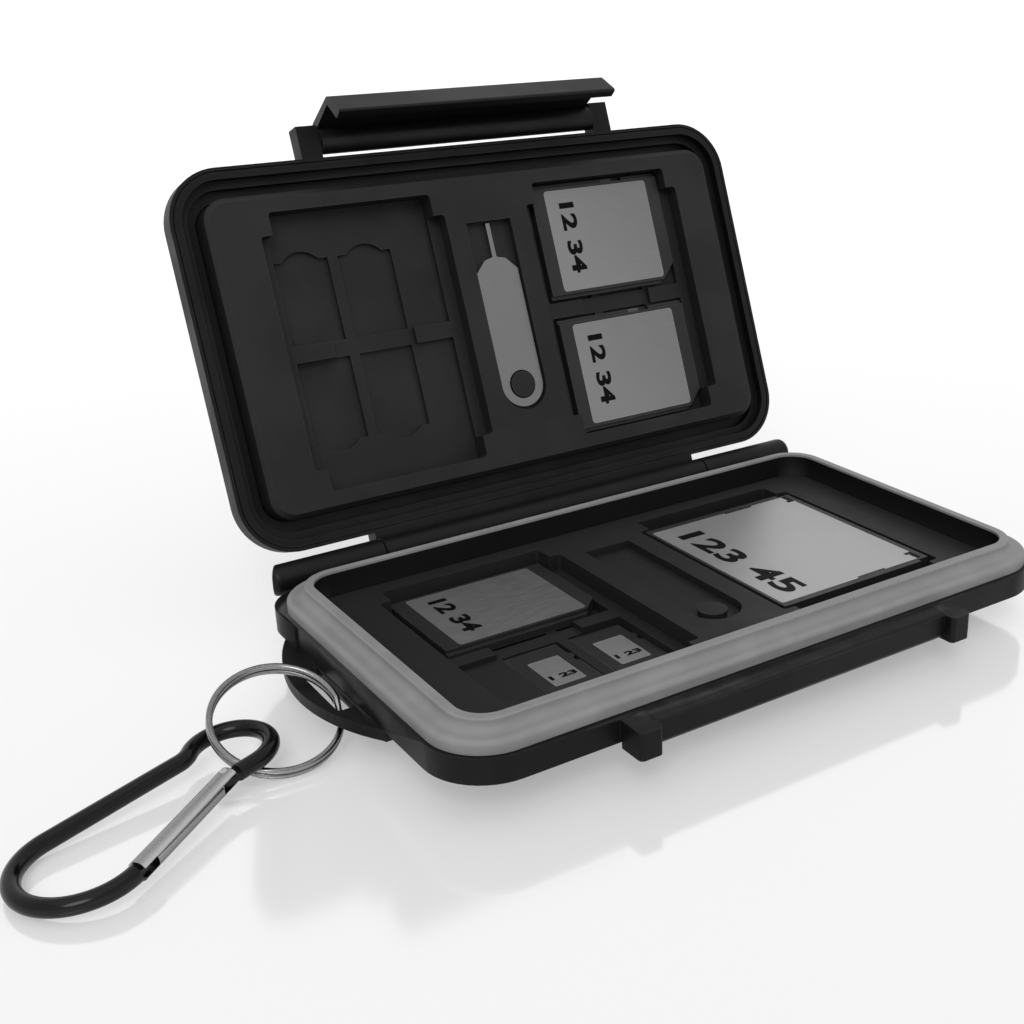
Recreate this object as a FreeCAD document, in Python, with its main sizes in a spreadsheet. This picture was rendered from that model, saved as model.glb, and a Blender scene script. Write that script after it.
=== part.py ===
import FreeCAD, Part
import math
import os
import Sketcher

# Memory card case: a hinged case with a rubber seal, two card trays, cards, a key ring and a carabiner.
# Millimetres. The origin is under the middle of the base, X runs along the hinge, Y to the back, Z up.

os.makedirs("parts", exist_ok=True)
doc = FreeCAD.newDocument("memory_card_case")
V = FreeCAD.Vector
sheet = doc.addObject("Spreadsheet::Sheet", "Sizes")


class Size:
    """A number together with the sheet expression that it stands for."""

    def __init__(self, number, text):
        self.number = number
        self.text = text

    def __add__(self, other):
        other = size_of(other)
        return Size(self.number + other.number, "(%s + %s)" % (self.text, other.text))

    def __sub__(self, other):
        other = size_of(other)
        return Size(self.number - other.number, "(%s - %s)" % (self.text, other.text))

    def __rsub__(self, other):
        return size_of(other) - self

    def __mul__(self, factor):
        return Size(self.number * factor, "(%s * %s)" % (self.text, repr(float(factor))))

    def __neg__(self):
        return self * -1

    __radd__ = __add__
    __rmul__ = __mul__


def size_of(value):
    return value if isinstance(value, Size) else Size(float(value), repr(float(value)))


# Driving sizes, in millimetres and degrees
SIZES = {
    # Base shell, seal ledge and riser
    "case_length": 125.4, "case_width": 71.6, "case_corner": 10.1, "skirt_height": 5.0, "wall_height": 6.4,
    "foot_inset": 14.0, "foot_back": 8.7, "foot_corner": 1.6, "foot_round": 0.8, "band": 0.75,
    "ledge": 3.8, "riser_height": 3.8, "riser_wall": 1.2, "cavity_floor": 4.3,
    # Catch bar and end blocks on the front wall
    "catch_out": 4.2, "catch_lift": 1.25, "catch_step": 0.2, "catch_bevel": 0.6, "block_width": 4.3,
    "block_reach": 6.2, "block_lift": 0.9, "block_tall": 4.85, "block_round": 0.8, "root": 0.8,
    # Hinge
    "hinge_out": 4.45, "hinge_rise": 0.97, "knuckle": 2.9, "knuckle_inset": 1.7, "knuckle_length": 22.4,
    "knuckle_gap": 0.4, "knuckle_round": 1.4, "knuckle_trim": 3.3, "trim_depth": 4.8, "right_reach": 1.2,
    "pin_radius": 0.95, "pin_inset": 4.0, "pin_fit": 0.02, "pin_room": 0.05,
    # Lanyard ear
    "ear_mid": 7.8, "ear_out": 6.7, "ear_radius": 36.0, "ear_thick": 2.0, "eye_gap": 0.85, "eye_width": 3.25,
    "eye_front": -2.4, "eye_length": 16.4, "eye_round": 0.8,
    # Seal
    "seal_proud": 0.0, "seal_height": 2.2, "seal_round": 0.9, "lip_inset": 3.2, "lip_round": 0.35,
    "lip_cove": 1.4, "cap_thick": 0.45, "seal_room": 0.05,
    # Trays, with card room round each kind of card
    "tray_room": 0.2, "tray_base": 1.5, "base_tray_bevel": 0.4, "lid_tray_room": 0.4, "lid_tray_bevel": 0.9,
    "compact_room": 0.9, "compact_floor": 1.0, "secure_room": 0.7, "secure_end": 0.4, "row_gap": 2.2,
    "bar_length": 8.0, "bar_half": 1.6, "micro_room": 0.15, "micro_end": 1.1, "micro_step": 0.9,
    "micro_rib": 2.0,
    "arch_radius": 5.0, "arch_out": 1.7, "pocket_round": 0.8, "tool_rib": 4.3, "tool_deep": 1.6,
    "slot_room": 0.35,
    "slot_back": 0.4, "slot_front": 0.7, "boss_room": 0.25, "boss_tall": 1.2,
    # Lid
    "lid_proud": 0.4, "land": 0.47, "seal_gap": 0.5, "lid_wall": 3.6, "lid_skin": 2.8, "back_inset": 8.5,
    "back_round": 1.0, "groove_room": 1.4, "groove_floor": 1.5, "channel_width": 2.3,
    "channel_floor": 3.3, "well_tight": 0.05,
    "line_out": 0.6, "line_in": 0.9,
    "line_deep": 0.5, "lug_reach": 6.2, "lug_low": 3.2, "lid_open": 69.43, "stop_half": 15.0,
    "stop_gap": 0.07,
    "stop_tall": 2.0, "stop_drop": 1.17, "stop_near": 0.75,
    # Latch
    "latch_out": 3.4, "latch_n": 1.2, "latch_half": 30.8, "latch_side": 0.3, "latch_round": 2.5,
    "latch_turn": 20.0,
    "latch_pin": 0.75, "latch_room": 0.05, "latch_pin_inset": 0.8, "arm_out": 3.6, "arm_thick": 1.6,
    "arm_knee": 10.5,
    "hook_reach": 2.4, "hook_low": 13.2, "hook_thick": 2.3, "knee_round": 1.2, "hook_round": 0.4,
    # SD cards
    "sd_length": 32.0, "sd_width": 24.0, "sd_thick": 2.1, "sd_cut": 4.0, "sd_rail": 0.75, "sd_step": 0.7,
    "sd_label_end": 3.0, "sd_label_side": 1.3, "label_thick": 0.1, "label_room": 0.05, "label_round": 0.8,
    "switch_left": 2.2, "switch_length": 2.6, "switch_travel": 2.4, "switch_deep": 1.1, "switch_room": 0.1,
    "pad_row_x": 2.5, "pad_side": 2.4, "pad_end": 3.4, "pad_thick": 0.3, "pad_mid_y": 1.2, "pad_pitch": 2.1,
    "pad_gap": 0.5,
    # MicroSD cards
    "ms_width": 11.0, "ms_length": 15.0, "ms_thick": 0.75, "ms_grip": 0.25, "ms_grip_long": 1.5,
    "ms_neck_step": 0.65,
    "ms_label_side": 2.4, "ms_label_y": 4.75, "ms_label_low": 0.9, "ms_pad_x": 4.2, "ms_pad_y": 1.4,
    "ms_pad_thick": 0.2,
    "ms_pad_pitch": 1.05, "ms_pad_gap": 0.25, "ms_pad_end": 2.0,
    # CompactFlash card
    "cf_length": 36.4, "cf_width": 42.8, "cf_thick": 3.3, "cf_rim": 1.5, "cf_notch_long": 2.6,
    "cf_notch_deep": 0.9,
    "plate_end": 0.9, "plate_side": 1.4, "plate_shift": 0.3, "plate_thick": 0.25, "plate_round": 0.55,
    "socket_end": 1.36, "socket_wide": 5.4, "socket_half": 1.1, "socket_back": 0.4, "hole_radius": 0.3,
    "hole_pitch": 1.27, "hole_deep": 4.0,
    # Flat tool
    "tool_half": 4.75, "tool_tip": 19.6, "tool_shoulder": 12.2, "tool_low": 18.3, "tool_eye": 2.95,
    "tool_eye_y": 13.7,
    "tool_thick": 0.9, "tool_needle": 0.45, "tool_neck": 2.4, "tool_taper": 2.4,
    # Key ring
    "ring_radius": 10.3, "ring_wire": 0.53, "ring_coil": 0.6, "ring_gap": 24.0, "ring_step": -9.0,
    "ring_in_eye": 2.1, "ring_y": 2.693,
    "ring_rise": 0.72, "hang_x": 6.341, "hang_y": -1.432, "hang_z": -1.08,
    # Carabiner, drawn flat with the wide end along X
    "rod": 1.4, "narrow_x": -18.838, "narrow_y": 4.685, "narrow_radius": 6.4, "kink_radius": 4.162,
    "spine_y": 0.648,
    "wide_x": 10.513, "wide_radius": 9.409, "nose_angle": 106.0, "rod_start": -15.5, "pivot_x": -13.2,
    "tang_radius": 1.3, "tang_thick": 1.1, "gate_radius": 1.6, "gate_bore": 1.0, "fork_half": 0.75,
    "gate_back": 1.1,
    "gate_gap": 0.6, "rivet": 0.6, "rivet_proud": 0.1, "rivet_room": 0.05, "plunger_start": 1.7,
    "plunger_length": 2.8,
    "plunger_room": 0.08,
    "spring_pitch": 0.9, "spring_length": 9.0, "spring_wire": 0.2, "spring_room": 0.12,
}


class Sizes:
    pass


d = Sizes()
for row, (name, value) in enumerate(SIZES.items(), 1):
    sheet.set("A%d" % row, name.replace("_", " "))
    sheet.set("B%d" % row, str(value))
    sheet.setAlias("B%d" % row, name)
    setattr(d, name, Size(value, "Sizes." + name))
doc.recompute()

# Outlines that nest in the base: shell, riser, cavity, seal, lip and tray
d.shell_x, d.shell_y, d.shell_corner = d.case_length * 0.5, d.case_width * 0.5, d.case_corner
d.foot_x, d.foot_y = d.shell_x - d.foot_inset, d.shell_y - (d.foot_inset + d.foot_back) * 0.5
d.riser_x, d.riser_y, d.riser_corner = d.shell_x - d.ledge, d.shell_y - d.ledge, d.shell_corner - d.ledge
d.cavity_x, d.cavity_y = d.riser_x - d.riser_wall, d.riser_y - d.riser_wall
d.cavity_corner = d.riser_corner - d.riser_wall
d.seal_x, d.seal_y = d.shell_x + d.seal_proud, d.shell_y + d.seal_proud
d.seal_corner = d.shell_corner + d.seal_proud
d.lip_x, d.lip_y, d.lip_corner = d.seal_x - d.lip_inset, d.seal_y - d.lip_inset, d.seal_corner - d.lip_inset
d.tray_x, d.tray_y = d.cavity_x - d.tray_room, d.cavity_y - d.tray_room
d.tray_corner = d.cavity_corner - d.tray_room
# Heights of the base
d.wall_low, d.wall_top = d.skirt_height, d.skirt_height + d.wall_height
d.riser_top = d.wall_top + d.riser_height
d.seal_top, d.lip_top = d.wall_top + d.seal_height, d.riser_top + d.cap_thick
d.hinge_y, d.hinge_z = d.shell_y + d.hinge_out, d.wall_top + d.hinge_rise
# Cards, and the pockets that take them; heights from the top face of an SD card lying in its pocket
d.sd_x, d.sd_y = d.sd_length * 0.5, d.sd_width * 0.5
d.ms_x, d.ms_y = d.ms_width * 0.5, d.ms_length * 0.5
d.cf_x, d.cf_y = d.cf_length * 0.5, d.cf_width * 0.5
d.compact_x, d.compact_y = d.cf_x + d.compact_room, d.cf_y + d.compact_room
d.sd_row = d.sd_y + d.row_gap
d.secure_x, d.secure_y = d.sd_x + d.secure_room, d.sd_row + d.sd_y + d.secure_end
d.micro_x, d.micro_long = d.ms_x + d.micro_room, d.ms_length + d.micro_end
d.secure_floor = d.sd_thick
d.micro_floor = d.secure_floor + d.micro_step
d.tray_top, d.tray_low = d.cf_thick - d.compact_floor, d.micro_floor + d.tray_base
d.card_plane = d.cavity_floor + d.tray_low
d.tool_slot = d.tool_half + d.slot_room
d.tool_back, d.tool_front = d.tool_tip + d.slot_back, d.tool_low + d.slot_front
d.boss_radius, d.boss_y = d.tool_eye - d.boss_room, d.tool_eye_y
d.pocket_mid = d.tool_slot + d.tool_rib + d.compact_x
d.sd_label_x, d.sd_label_y = d.sd_x - d.sd_label_end, d.sd_y - d.sd_label_side
d.pad_row_y, d.pad_mid_x = d.sd_y - d.pad_side, d.sd_x - d.pad_end
d.ms_neck, d.ms_label_x = d.ms_x - d.ms_neck_step, d.ms_x - d.ms_label_side
d.plate_x, d.plate_y = d.cf_x - d.plate_end, d.cf_y - d.plate_side
d.socket_long = d.hole_pitch * 12 + d.socket_end
# Lid outlines and heights, and the hinge axis that brings its land down on the seal
d.lid_x, d.lid_y, d.lid_corner = d.seal_x + d.lid_proud, d.seal_y + d.lid_proud, d.seal_corner + d.lid_proud
d.back_x, d.back_y = d.lid_x - d.back_inset, d.lid_y - d.back_inset
d.back_corner = d.lid_corner - d.back_inset
d.groove_x, d.groove_y = d.lip_x + d.groove_room, d.lip_y + d.groove_room
d.groove_corner = d.lip_corner + d.groove_room
d.well_x, d.well_y = d.tray_x - d.well_tight, d.tray_y - d.well_tight
d.well_corner = d.tray_corner - d.well_tight
d.lid_back = d.tray_low + d.lid_skin
d.lid_axis = d.seal_top + d.seal_gap + d.land - d.hinge_z
# Hinge knuckles along X, then latch, ears, catch bar and blocks along X
d.knuckle_out = d.shell_x - d.knuckle_inset
d.knuckle_in = d.knuckle_out - d.knuckle_length
d.middle_half, d.pin_end = d.knuckle_in - d.knuckle_gap, d.knuckle_out - d.pin_inset
d.lug_in = d.latch_half + d.latch_side
d.lug_out, d.catch_half, d.block_out = d.lug_in + d.block_width, d.lug_in, d.lug_in + d.block_width
d.latch_pin_end = d.lug_out - d.latch_pin_inset
d.latch_s, d.lug_front = d.lid_y + d.latch_out, d.lid_y + d.lug_reach
d.catch_front, d.block_front = d.shell_y + d.catch_out, d.shell_y + d.block_reach
d.catch_low, d.catch_high = d.wall_low + d.catch_lift, d.wall_top - d.catch_step
d.block_low = d.wall_low + d.block_lift
# Ear and its eye
d.ear_reach = d.shell_x + d.ear_out
d.eye_right, d.eye_back = d.shell_x + d.eye_gap, d.eye_front + d.eye_length
d.eye_left = d.eye_right + d.eye_width
# Gate fittings
d.rivet_length = (d.gate_radius + d.rivet_proud) * 2
d.spring_start = d.plunger_start + d.plunger_length + d.spring_wire + d.label_room


# Sketch helpers

def origin_plane(body, role):
    for item in body.Origin.OriginFeatures:
        if item.Role == role:
            return item


def new_body(name):
    body = doc.addObject("PartDesign::Body", name)
    body.Label = name
    return body


def new_sketch(body, name, offset=0, role="XY_Plane"):
    sketch = body.newObject("Sketcher::SketchObject", name)
    sketch.AttachmentSupport = [(origin_plane(body, role), "")]
    sketch.MapMode = "FlatFace"
    offset = size_of(offset)
    sketch.AttachmentOffset = FreeCAD.Placement(V(0, 0, offset.number), FreeCAD.Rotation())
    sketch.setExpression("AttachmentOffset.Base.z", offset.text)
    return sketch


def bind(sketch, kind, *rest):
    size = size_of(rest[-1])
    index = sketch.addConstraint(Sketcher.Constraint(kind, *rest[:-1], size.number))
    sketch.setExpression("Constraints[%d]" % index, size.text)


def hold(sketch, geometry, point, x=None, y=None):
    """Fix a point at a distance from the sketch origin."""
    for kind, value, axis in (("DistanceX", x, -2), ("DistanceY", y, -1)):
        if value is None:
            continue
        if abs(size_of(value).number) < 1e-9:
            sketch.addConstraint(Sketcher.Constraint("PointOnObject", geometry, point, axis))
        else:
            bind(sketch, kind, -1, 1, geometry, point, value)


def segment(sketch, a, b):
    return sketch.addGeometry(Part.LineSegment(V(a[0], a[1], 0), V(b[0], b[1], 0)))


def arc(sketch, centre, radius, first, last):
    circle = Part.Circle(V(centre[0], centre[1], 0), V(0, 0, 1), radius)
    return sketch.addGeometry(Part.ArcOfCircle(circle, math.radians(first), math.radians(last)))


def rounded(sketch, half_x, half_y, corner, x=0, y=0):
    """Rectangle with round corners about a centre."""
    half_x, half_y, corner, x, y = [size_of(v) for v in (half_x, half_y, corner, x, y)]
    west, east, south, north = x - half_x, x + half_x, y - half_y, y + half_y
    w, e, s, n, r = west.number, east.number, south.number, north.number, corner.number
    low = segment(sketch, (w + r, s), (e - r, s))
    a = arc(sketch, (e - r, s + r), r, -90, 0)
    right = segment(sketch, (e, s + r), (e, n - r))
    b = arc(sketch, (e - r, n - r), r, 0, 90)
    high = segment(sketch, (e - r, n), (w + r, n))
    c = arc(sketch, (w + r, n - r), r, 90, 180)
    left = segment(sketch, (w, n - r), (w, s + r))
    f = arc(sketch, (w + r, s + r), r, 180, 270)
    loop = [low, a, right, b, high, c, left, f]
    for one, two in zip(loop, loop[1:] + loop[:1]):
        sketch.addConstraint(Sketcher.Constraint("Tangent", one, 2, two, 1))
    for line in (low, high):
        sketch.addConstraint(Sketcher.Constraint("Horizontal", line))
    for line in (left, right):
        sketch.addConstraint(Sketcher.Constraint("Vertical", line))
    for other in (b, c, f):
        sketch.addConstraint(Sketcher.Constraint("Equal", a, other))
    bind(sketch, "Radius", a, corner)
    hold(sketch, left, 1, x=west)
    hold(sketch, right, 1, x=east)
    hold(sketch, low, 1, y=south)
    hold(sketch, high, 1, y=north)


def polygon(sketch, points):
    points = [(size_of(x), size_of(y)) for x, y in points]
    lines = []
    for a, b in zip(points, points[1:] + points[:1]):
        lines.append(segment(sketch, (a[0].number, a[1].number), (b[0].number, b[1].number)))
    for one, two in zip(lines, lines[1:] + lines[:1]):
        sketch.addConstraint(Sketcher.Constraint("Coincident", one, 2, two, 1))
    for line, (x, y) in zip(lines, points):
        hold(sketch, line, 1, x=x, y=y)


def rectangle(sketch, west, east, south, north):
    polygon(sketch, [(west, south), (east, south), (east, north), (west, north)])


def circle(sketch, x, y, radius):
    x, y, radius = size_of(x), size_of(y), size_of(radius)
    index = sketch.addGeometry(Part.Circle(V(x.number, y.number, 0), V(0, 0, 1), radius.number))
    hold(sketch, index, 3, x=x, y=y)
    bind(sketch, "Radius", index, radius)


def round_end(sketch, half, top, low):
    """Slot with a square end at the top and a round end below."""
    half, top, low = size_of(half), size_of(top), size_of(low)
    h, t, m = half.number, top.number, low.number + half.number
    right, across = segment(sketch, (h, m), (h, t)), segment(sketch, (h, t), (-h, t))
    lines = [right, across, segment(sketch, (-h, t), (-h, m))]
    end = arc(sketch, (0, m), h, 180, 360)
    sketch.addConstraint(Sketcher.Constraint("Coincident", lines[0], 2, lines[1], 1))
    sketch.addConstraint(Sketcher.Constraint("Coincident", lines[1], 2, lines[2], 1))
    sketch.addConstraint(Sketcher.Constraint("Tangent", lines[2], 2, end, 1))
    sketch.addConstraint(Sketcher.Constraint("Tangent", end, 2, lines[0], 1))
    sketch.addConstraint(Sketcher.Constraint("Vertical", lines[0]))
    sketch.addConstraint(Sketcher.Constraint("Horizontal", lines[1]))
    hold(sketch, lines[0], 2, x=half, y=top)
    hold(sketch, end, 3, x=0, y=low + half)


# Feature helpers

def give(feature, name, value):
    value = size_of(value)
    setattr(feature, name, value.number)
    feature.setExpression(name, value.text)


def grow(body, sketch, length, both=False, down=False):
    feature = body.newObject("PartDesign::Pad", sketch.Name + "_pad")
    feature.Profile = sketch
    give(feature, "Length", length)
    feature.SideType = "Symmetric" if both else "One side"
    feature.Reversed = down
    sketch.Visibility = False
    doc.recompute()
    return feature


def cut(body, sketch, length, both=False, up=False):
    """Pocket below the sketch, or above it; it must take material away."""
    before = body.Shape.Volume
    feature = body.newObject("PartDesign::Pocket", sketch.Name + "_pocket")
    feature.Profile = sketch
    give(feature, "Length", length)
    feature.SideType = "Symmetric" if both else "One side"
    feature.Reversed = up
    sketch.Visibility = False
    doc.recompute()
    if not body.Shape.Volume < before - 1e-6:
        raise RuntimeError("nothing cut by " + sketch.Name)
    return feature


def soften(body, kind, amount, test):
    """Fillet or chamfer the edges of the body that pass the test."""
    base = body.Tip
    names = ["Edge%d" % (i + 1) for i, edge in enumerate(base.Shape.Edges) if test(edge)]
    feature = body.newObject("PartDesign::" + kind, body.Name + "_" + kind.lower())
    feature.Base = (base, names)
    give(feature, "Radius" if kind == "Fillet" else "Size", amount)
    doc.recompute()
    if not names or not feature.Shape.isValid() or "Invalid" in feature.State:
        raise RuntimeError("no %s on %s" % (kind, body.Name))
    return feature


def level(height, out_x=0.0, out_y=0.0):
    """Edges lying at one height, outside a given rectangle."""
    def test(edge):
        box = edge.BoundBox
        flat = abs(box.ZMin - height) < 1e-4 and abs(box.ZMax - height) < 1e-4
        far_x = max(abs(box.XMin), abs(box.XMax)) > out_x - 1e-3
        far = far_x or max(abs(box.YMin), abs(box.YMax)) > out_y - 1e-3
        middle = edge.CenterOfMass
        return flat and far and (abs(middle.x) > out_x - 4 or abs(middle.y) > out_y - 4)
    return test


def loft(body, first, second):
    feature = body.newObject("PartDesign::AdditiveLoft", body.Name + "_loft")
    feature.Profile = first
    feature.Sections = [second]
    feature.Ruled = True
    first.Visibility = False
    second.Visibility = False
    doc.recompute()
    return feature


def moved(x=0, y=0, z=0, turn=None):
    numbers = [size_of(v).number for v in (x, y, z)]
    return FreeCAD.Placement(V(*numbers), turn or FreeCAD.Rotation())


nodes = []


def finish(thing, place):
    thing.Placement = place
    thing.Visibility = True
    nodes.append(thing)


# The lid is drawn flat: X along the hinge, Y towards the latch, Z out of the tray
open_turn = FreeCAD.Rotation(V(1, 0, 0), d.lid_open.number)
axis_flat = V(0, -d.hinge_y.number, d.lid_axis.number)
axis_place = V(0, d.hinge_y.number, d.hinge_z.number)
lid_place = FreeCAD.Placement(axis_place - open_turn.multVec(axis_flat), open_turn)
base_place = moved(z=d.card_plane)

# Base shell
base = new_body("base_shell")
wall = new_sketch(base, "base_wall", d.wall_low)
rounded(wall, d.shell_x, d.shell_y, d.shell_corner)
grow(base, wall, d.wall_top - d.wall_low)
band = new_sketch(base, "base_band", d.wall_low)
rounded(band, d.shell_x + d.band, d.shell_y + d.band * 0.5, d.shell_corner + d.band, 0, d.band * -0.5)
grow(base, band, d.wall_top - d.wall_low)
skirt = new_sketch(base, "base_skirt", d.wall_low)
rounded(skirt, d.shell_x + d.band, d.shell_y + d.band * 0.5, d.shell_corner + d.band, 0, d.band * -0.5)
foot = new_sketch(base, "base_foot", 0)
rounded(foot, d.foot_x, d.foot_y, d.foot_corner, 0, (d.foot_inset - d.foot_back) * 0.5)
loft(base, skirt, foot)
soften(base, "Fillet", d.foot_round, level(0.0))
riser = new_sketch(base, "base_riser", d.wall_top)
rounded(riser, d.riser_x, d.riser_y, d.riser_corner)
grow(base, riser, d.riser_top - d.wall_top)
catch = new_sketch(base, "catch_bar", 0, "YZ_Plane")
rear = -(d.shell_y - d.root)
polygon(catch, [(rear, d.catch_high), (-(d.catch_front - d.catch_bevel), d.catch_high),
                (-d.catch_front, d.catch_high - d.catch_bevel), (-d.catch_front, d.catch_low + 0.75),
                (-(d.catch_front - d.catch_bevel), d.catch_low), (rear, d.catch_low)])
grow(base, catch, d.catch_half * 2, both=True)
for side, name in ((1, "right"), (-1, "left")):
    block = new_sketch(base, "end_block_" + name, d.block_low)
    edges = sorted([d.catch_half * side, d.block_out * side], key=lambda q: q.number)
    rectangle(block, edges[0], edges[1], -d.block_front, rear)
    grow(base, block, d.block_tall)
    inner = d.knuckle_in if side > 0 else -d.knuckle_out
    reach = d.knuckle_out + d.right_reach if side > 0 else d.knuckle_out
    barrel = new_sketch(base, "knuckle_" + name, inner, "YZ_Plane")
    circle(barrel, d.hinge_y, d.hinge_z, d.knuckle)
    grow(base, barrel, reach - d.knuckle_in)
    web = new_sketch(base, "web_" + name, inner, "YZ_Plane")
    low = d.hinge_z - d.knuckle + 0.1
    rectangle(web, d.shell_y - d.root, d.hinge_y, low, d.wall_top - 0.1)
    if side > 0:
        grow(base, web, d.knuckle_out - d.knuckle_in - 4.0)
    else:
        web.setExpression("AttachmentOffset.Base.z", (inner + 4.0).text)
        grow(base, web, d.knuckle_out - d.knuckle_in - 4.0)


def barrel_ends(edge):
    box = edge.BoundBox
    ends = (-d.knuckle_out.number, (d.knuckle_out + d.right_reach).number)
    flat = min(abs(edge.CenterOfMass.x - end) for end in ends) < 1e-3 and box.XLength < 1e-3
    return flat and box.YMin > d.shell_y.number


soften(base, "Fillet", d.knuckle_round, barrel_ends)
for side, name in ((1, "right"), (-1, "left")):
    reach = d.knuckle_out + d.right_reach if side > 0 else d.knuckle_out
    trim = new_sketch(base, "knuckle_trim_" + name, d.hinge_z + d.knuckle + 0.1)
    back = d.hinge_y + d.knuckle + 0.4
    front = back - d.trim_depth - 1
    polygon(trim, [((reach + 0.6) * side, front), ((reach + 0.6) * side, back),
                   ((reach - d.knuckle_trim) * side, back)])
    cut(base, trim, d.knuckle * 2 + 0.2)


def block_corners(edge):
    box = edge.BoundBox
    upright = box.XLength < 1e-4 and box.YLength < 1e-4
    return upright and abs(box.YMin + d.block_front.number) < 1e-3


soften(base, "Fillet", d.block_round, block_corners)
ear = new_sketch(base, "lanyard_ear", d.wall_low)
chord = d.shell_x - 1.2
rise = d.ear_reach.number - chord.number
spread = math.degrees(math.acos(1 - rise / d.ear_radius.number))
centre_x = d.ear_radius - d.ear_reach
bow = arc(ear, (centre_x.number, d.ear_mid.number), d.ear_radius.number, 180 - spread, 180 + spread)
half_chord = d.ear_radius.number * math.sin(math.radians(spread))
ear_y = d.ear_mid.number
string = segment(ear, (-chord.number, ear_y - half_chord), (-chord.number, ear_y + half_chord))
ear.addConstraint(Sketcher.Constraint("Coincident", bow, 2, string, 1))
ear.addConstraint(Sketcher.Constraint("Coincident", string, 2, bow, 1))
ear.addConstraint(Sketcher.Constraint("Vertical", string))
bind(ear, "Radius", bow, d.ear_radius)
hold(ear, bow, 3, x=centre_x, y=d.ear_mid)
hold(ear, string, 1, x=-chord)
grow(base, ear, d.ear_thick)
eye = new_sketch(base, "ear_eye", d.wall_low + d.ear_thick)
eye_x = (d.eye_left + d.eye_right) * -0.5
eye_y = (d.eye_front + d.eye_back) * 0.5
rounded(eye, (d.eye_left - d.eye_right) * 0.5, (d.eye_back - d.eye_front) * 0.5, d.eye_round, eye_x, eye_y)
cut(base, eye, d.ear_thick)
cavity = new_sketch(base, "base_cavity", d.riser_top)
rounded(cavity, d.cavity_x, d.cavity_y, d.cavity_corner)
cut(base, cavity, d.riser_top - d.cavity_floor)
bore = new_sketch(base, "hinge_bore", -d.pin_end - 0.2, "YZ_Plane")
circle(bore, d.hinge_y, d.hinge_z, d.pin_radius + d.pin_fit)
cut(base, bore, d.pin_end + d.knuckle_out + 2, up=True)
finish(base, moved())

# Seal ring
seal = new_body("seal_ring")
flange = new_sketch(seal, "seal_flange", d.wall_top)
rounded(flange, d.seal_x, d.seal_y, d.seal_corner)
rounded(flange, d.riser_x + d.seal_room, d.riser_y + d.seal_room, d.riser_corner + d.seal_room)
grow(seal, flange, d.seal_top - d.wall_top)
lip = new_sketch(seal, "seal_lip", d.seal_top)
rounded(lip, d.lip_x, d.lip_y, d.lip_corner)
rounded(lip, d.riser_x + d.seal_room, d.riser_y + d.seal_room, d.riser_corner + d.seal_room)
grow(seal, lip, d.lip_top - d.seal_top)
cap = new_sketch(seal, "seal_cap", d.riser_top)
rounded(cap, d.lip_x, d.lip_y, d.lip_corner)
rounded(cap, d.cavity_x + 0.1, d.cavity_y + 0.1, d.cavity_corner + 0.1)
grow(seal, cap, d.lip_top - d.riser_top)


def lip_foot(edge):
    box = edge.BoundBox
    flat = abs(box.ZMin - d.seal_top.number) < 1e-4 and box.ZLength < 1e-4
    straight = abs(abs(edge.CenterOfMass.x) - d.lip_x.number) < 1e-3
    straight = straight or abs(abs(edge.CenterOfMass.y) - d.lip_y.number) < 1e-3
    return flat and (straight or abs(edge.Length - math.pi / 2 * d.lip_corner.number) < 0.01)


soften(seal, "Fillet", d.lip_cove, lip_foot)
soften(seal, "Fillet", d.seal_round, level(d.seal_top.number, d.seal_x.number, d.seal_y.number))


def lip_edge(edge):
    box = edge.BoundBox
    flat = abs(box.ZMin - d.lip_top.number) < 1e-4 and box.ZLength < 1e-4
    middle = edge.CenterOfMass
    outside = abs(middle.x) > d.riser_x.number - 3.5 and abs(middle.y) > d.riser_y.number - 3.5
    return flat and (abs(middle.x) > d.lip_x.number - 0.1 or abs(middle.y) > d.lip_y.number - 0.1 or
                     (outside and abs(edge.Length - math.pi / 2 * d.lip_corner.number) < 0.01))


soften(seal, "Fillet", d.lip_round, lip_edge)
finish(seal, moved())


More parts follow.
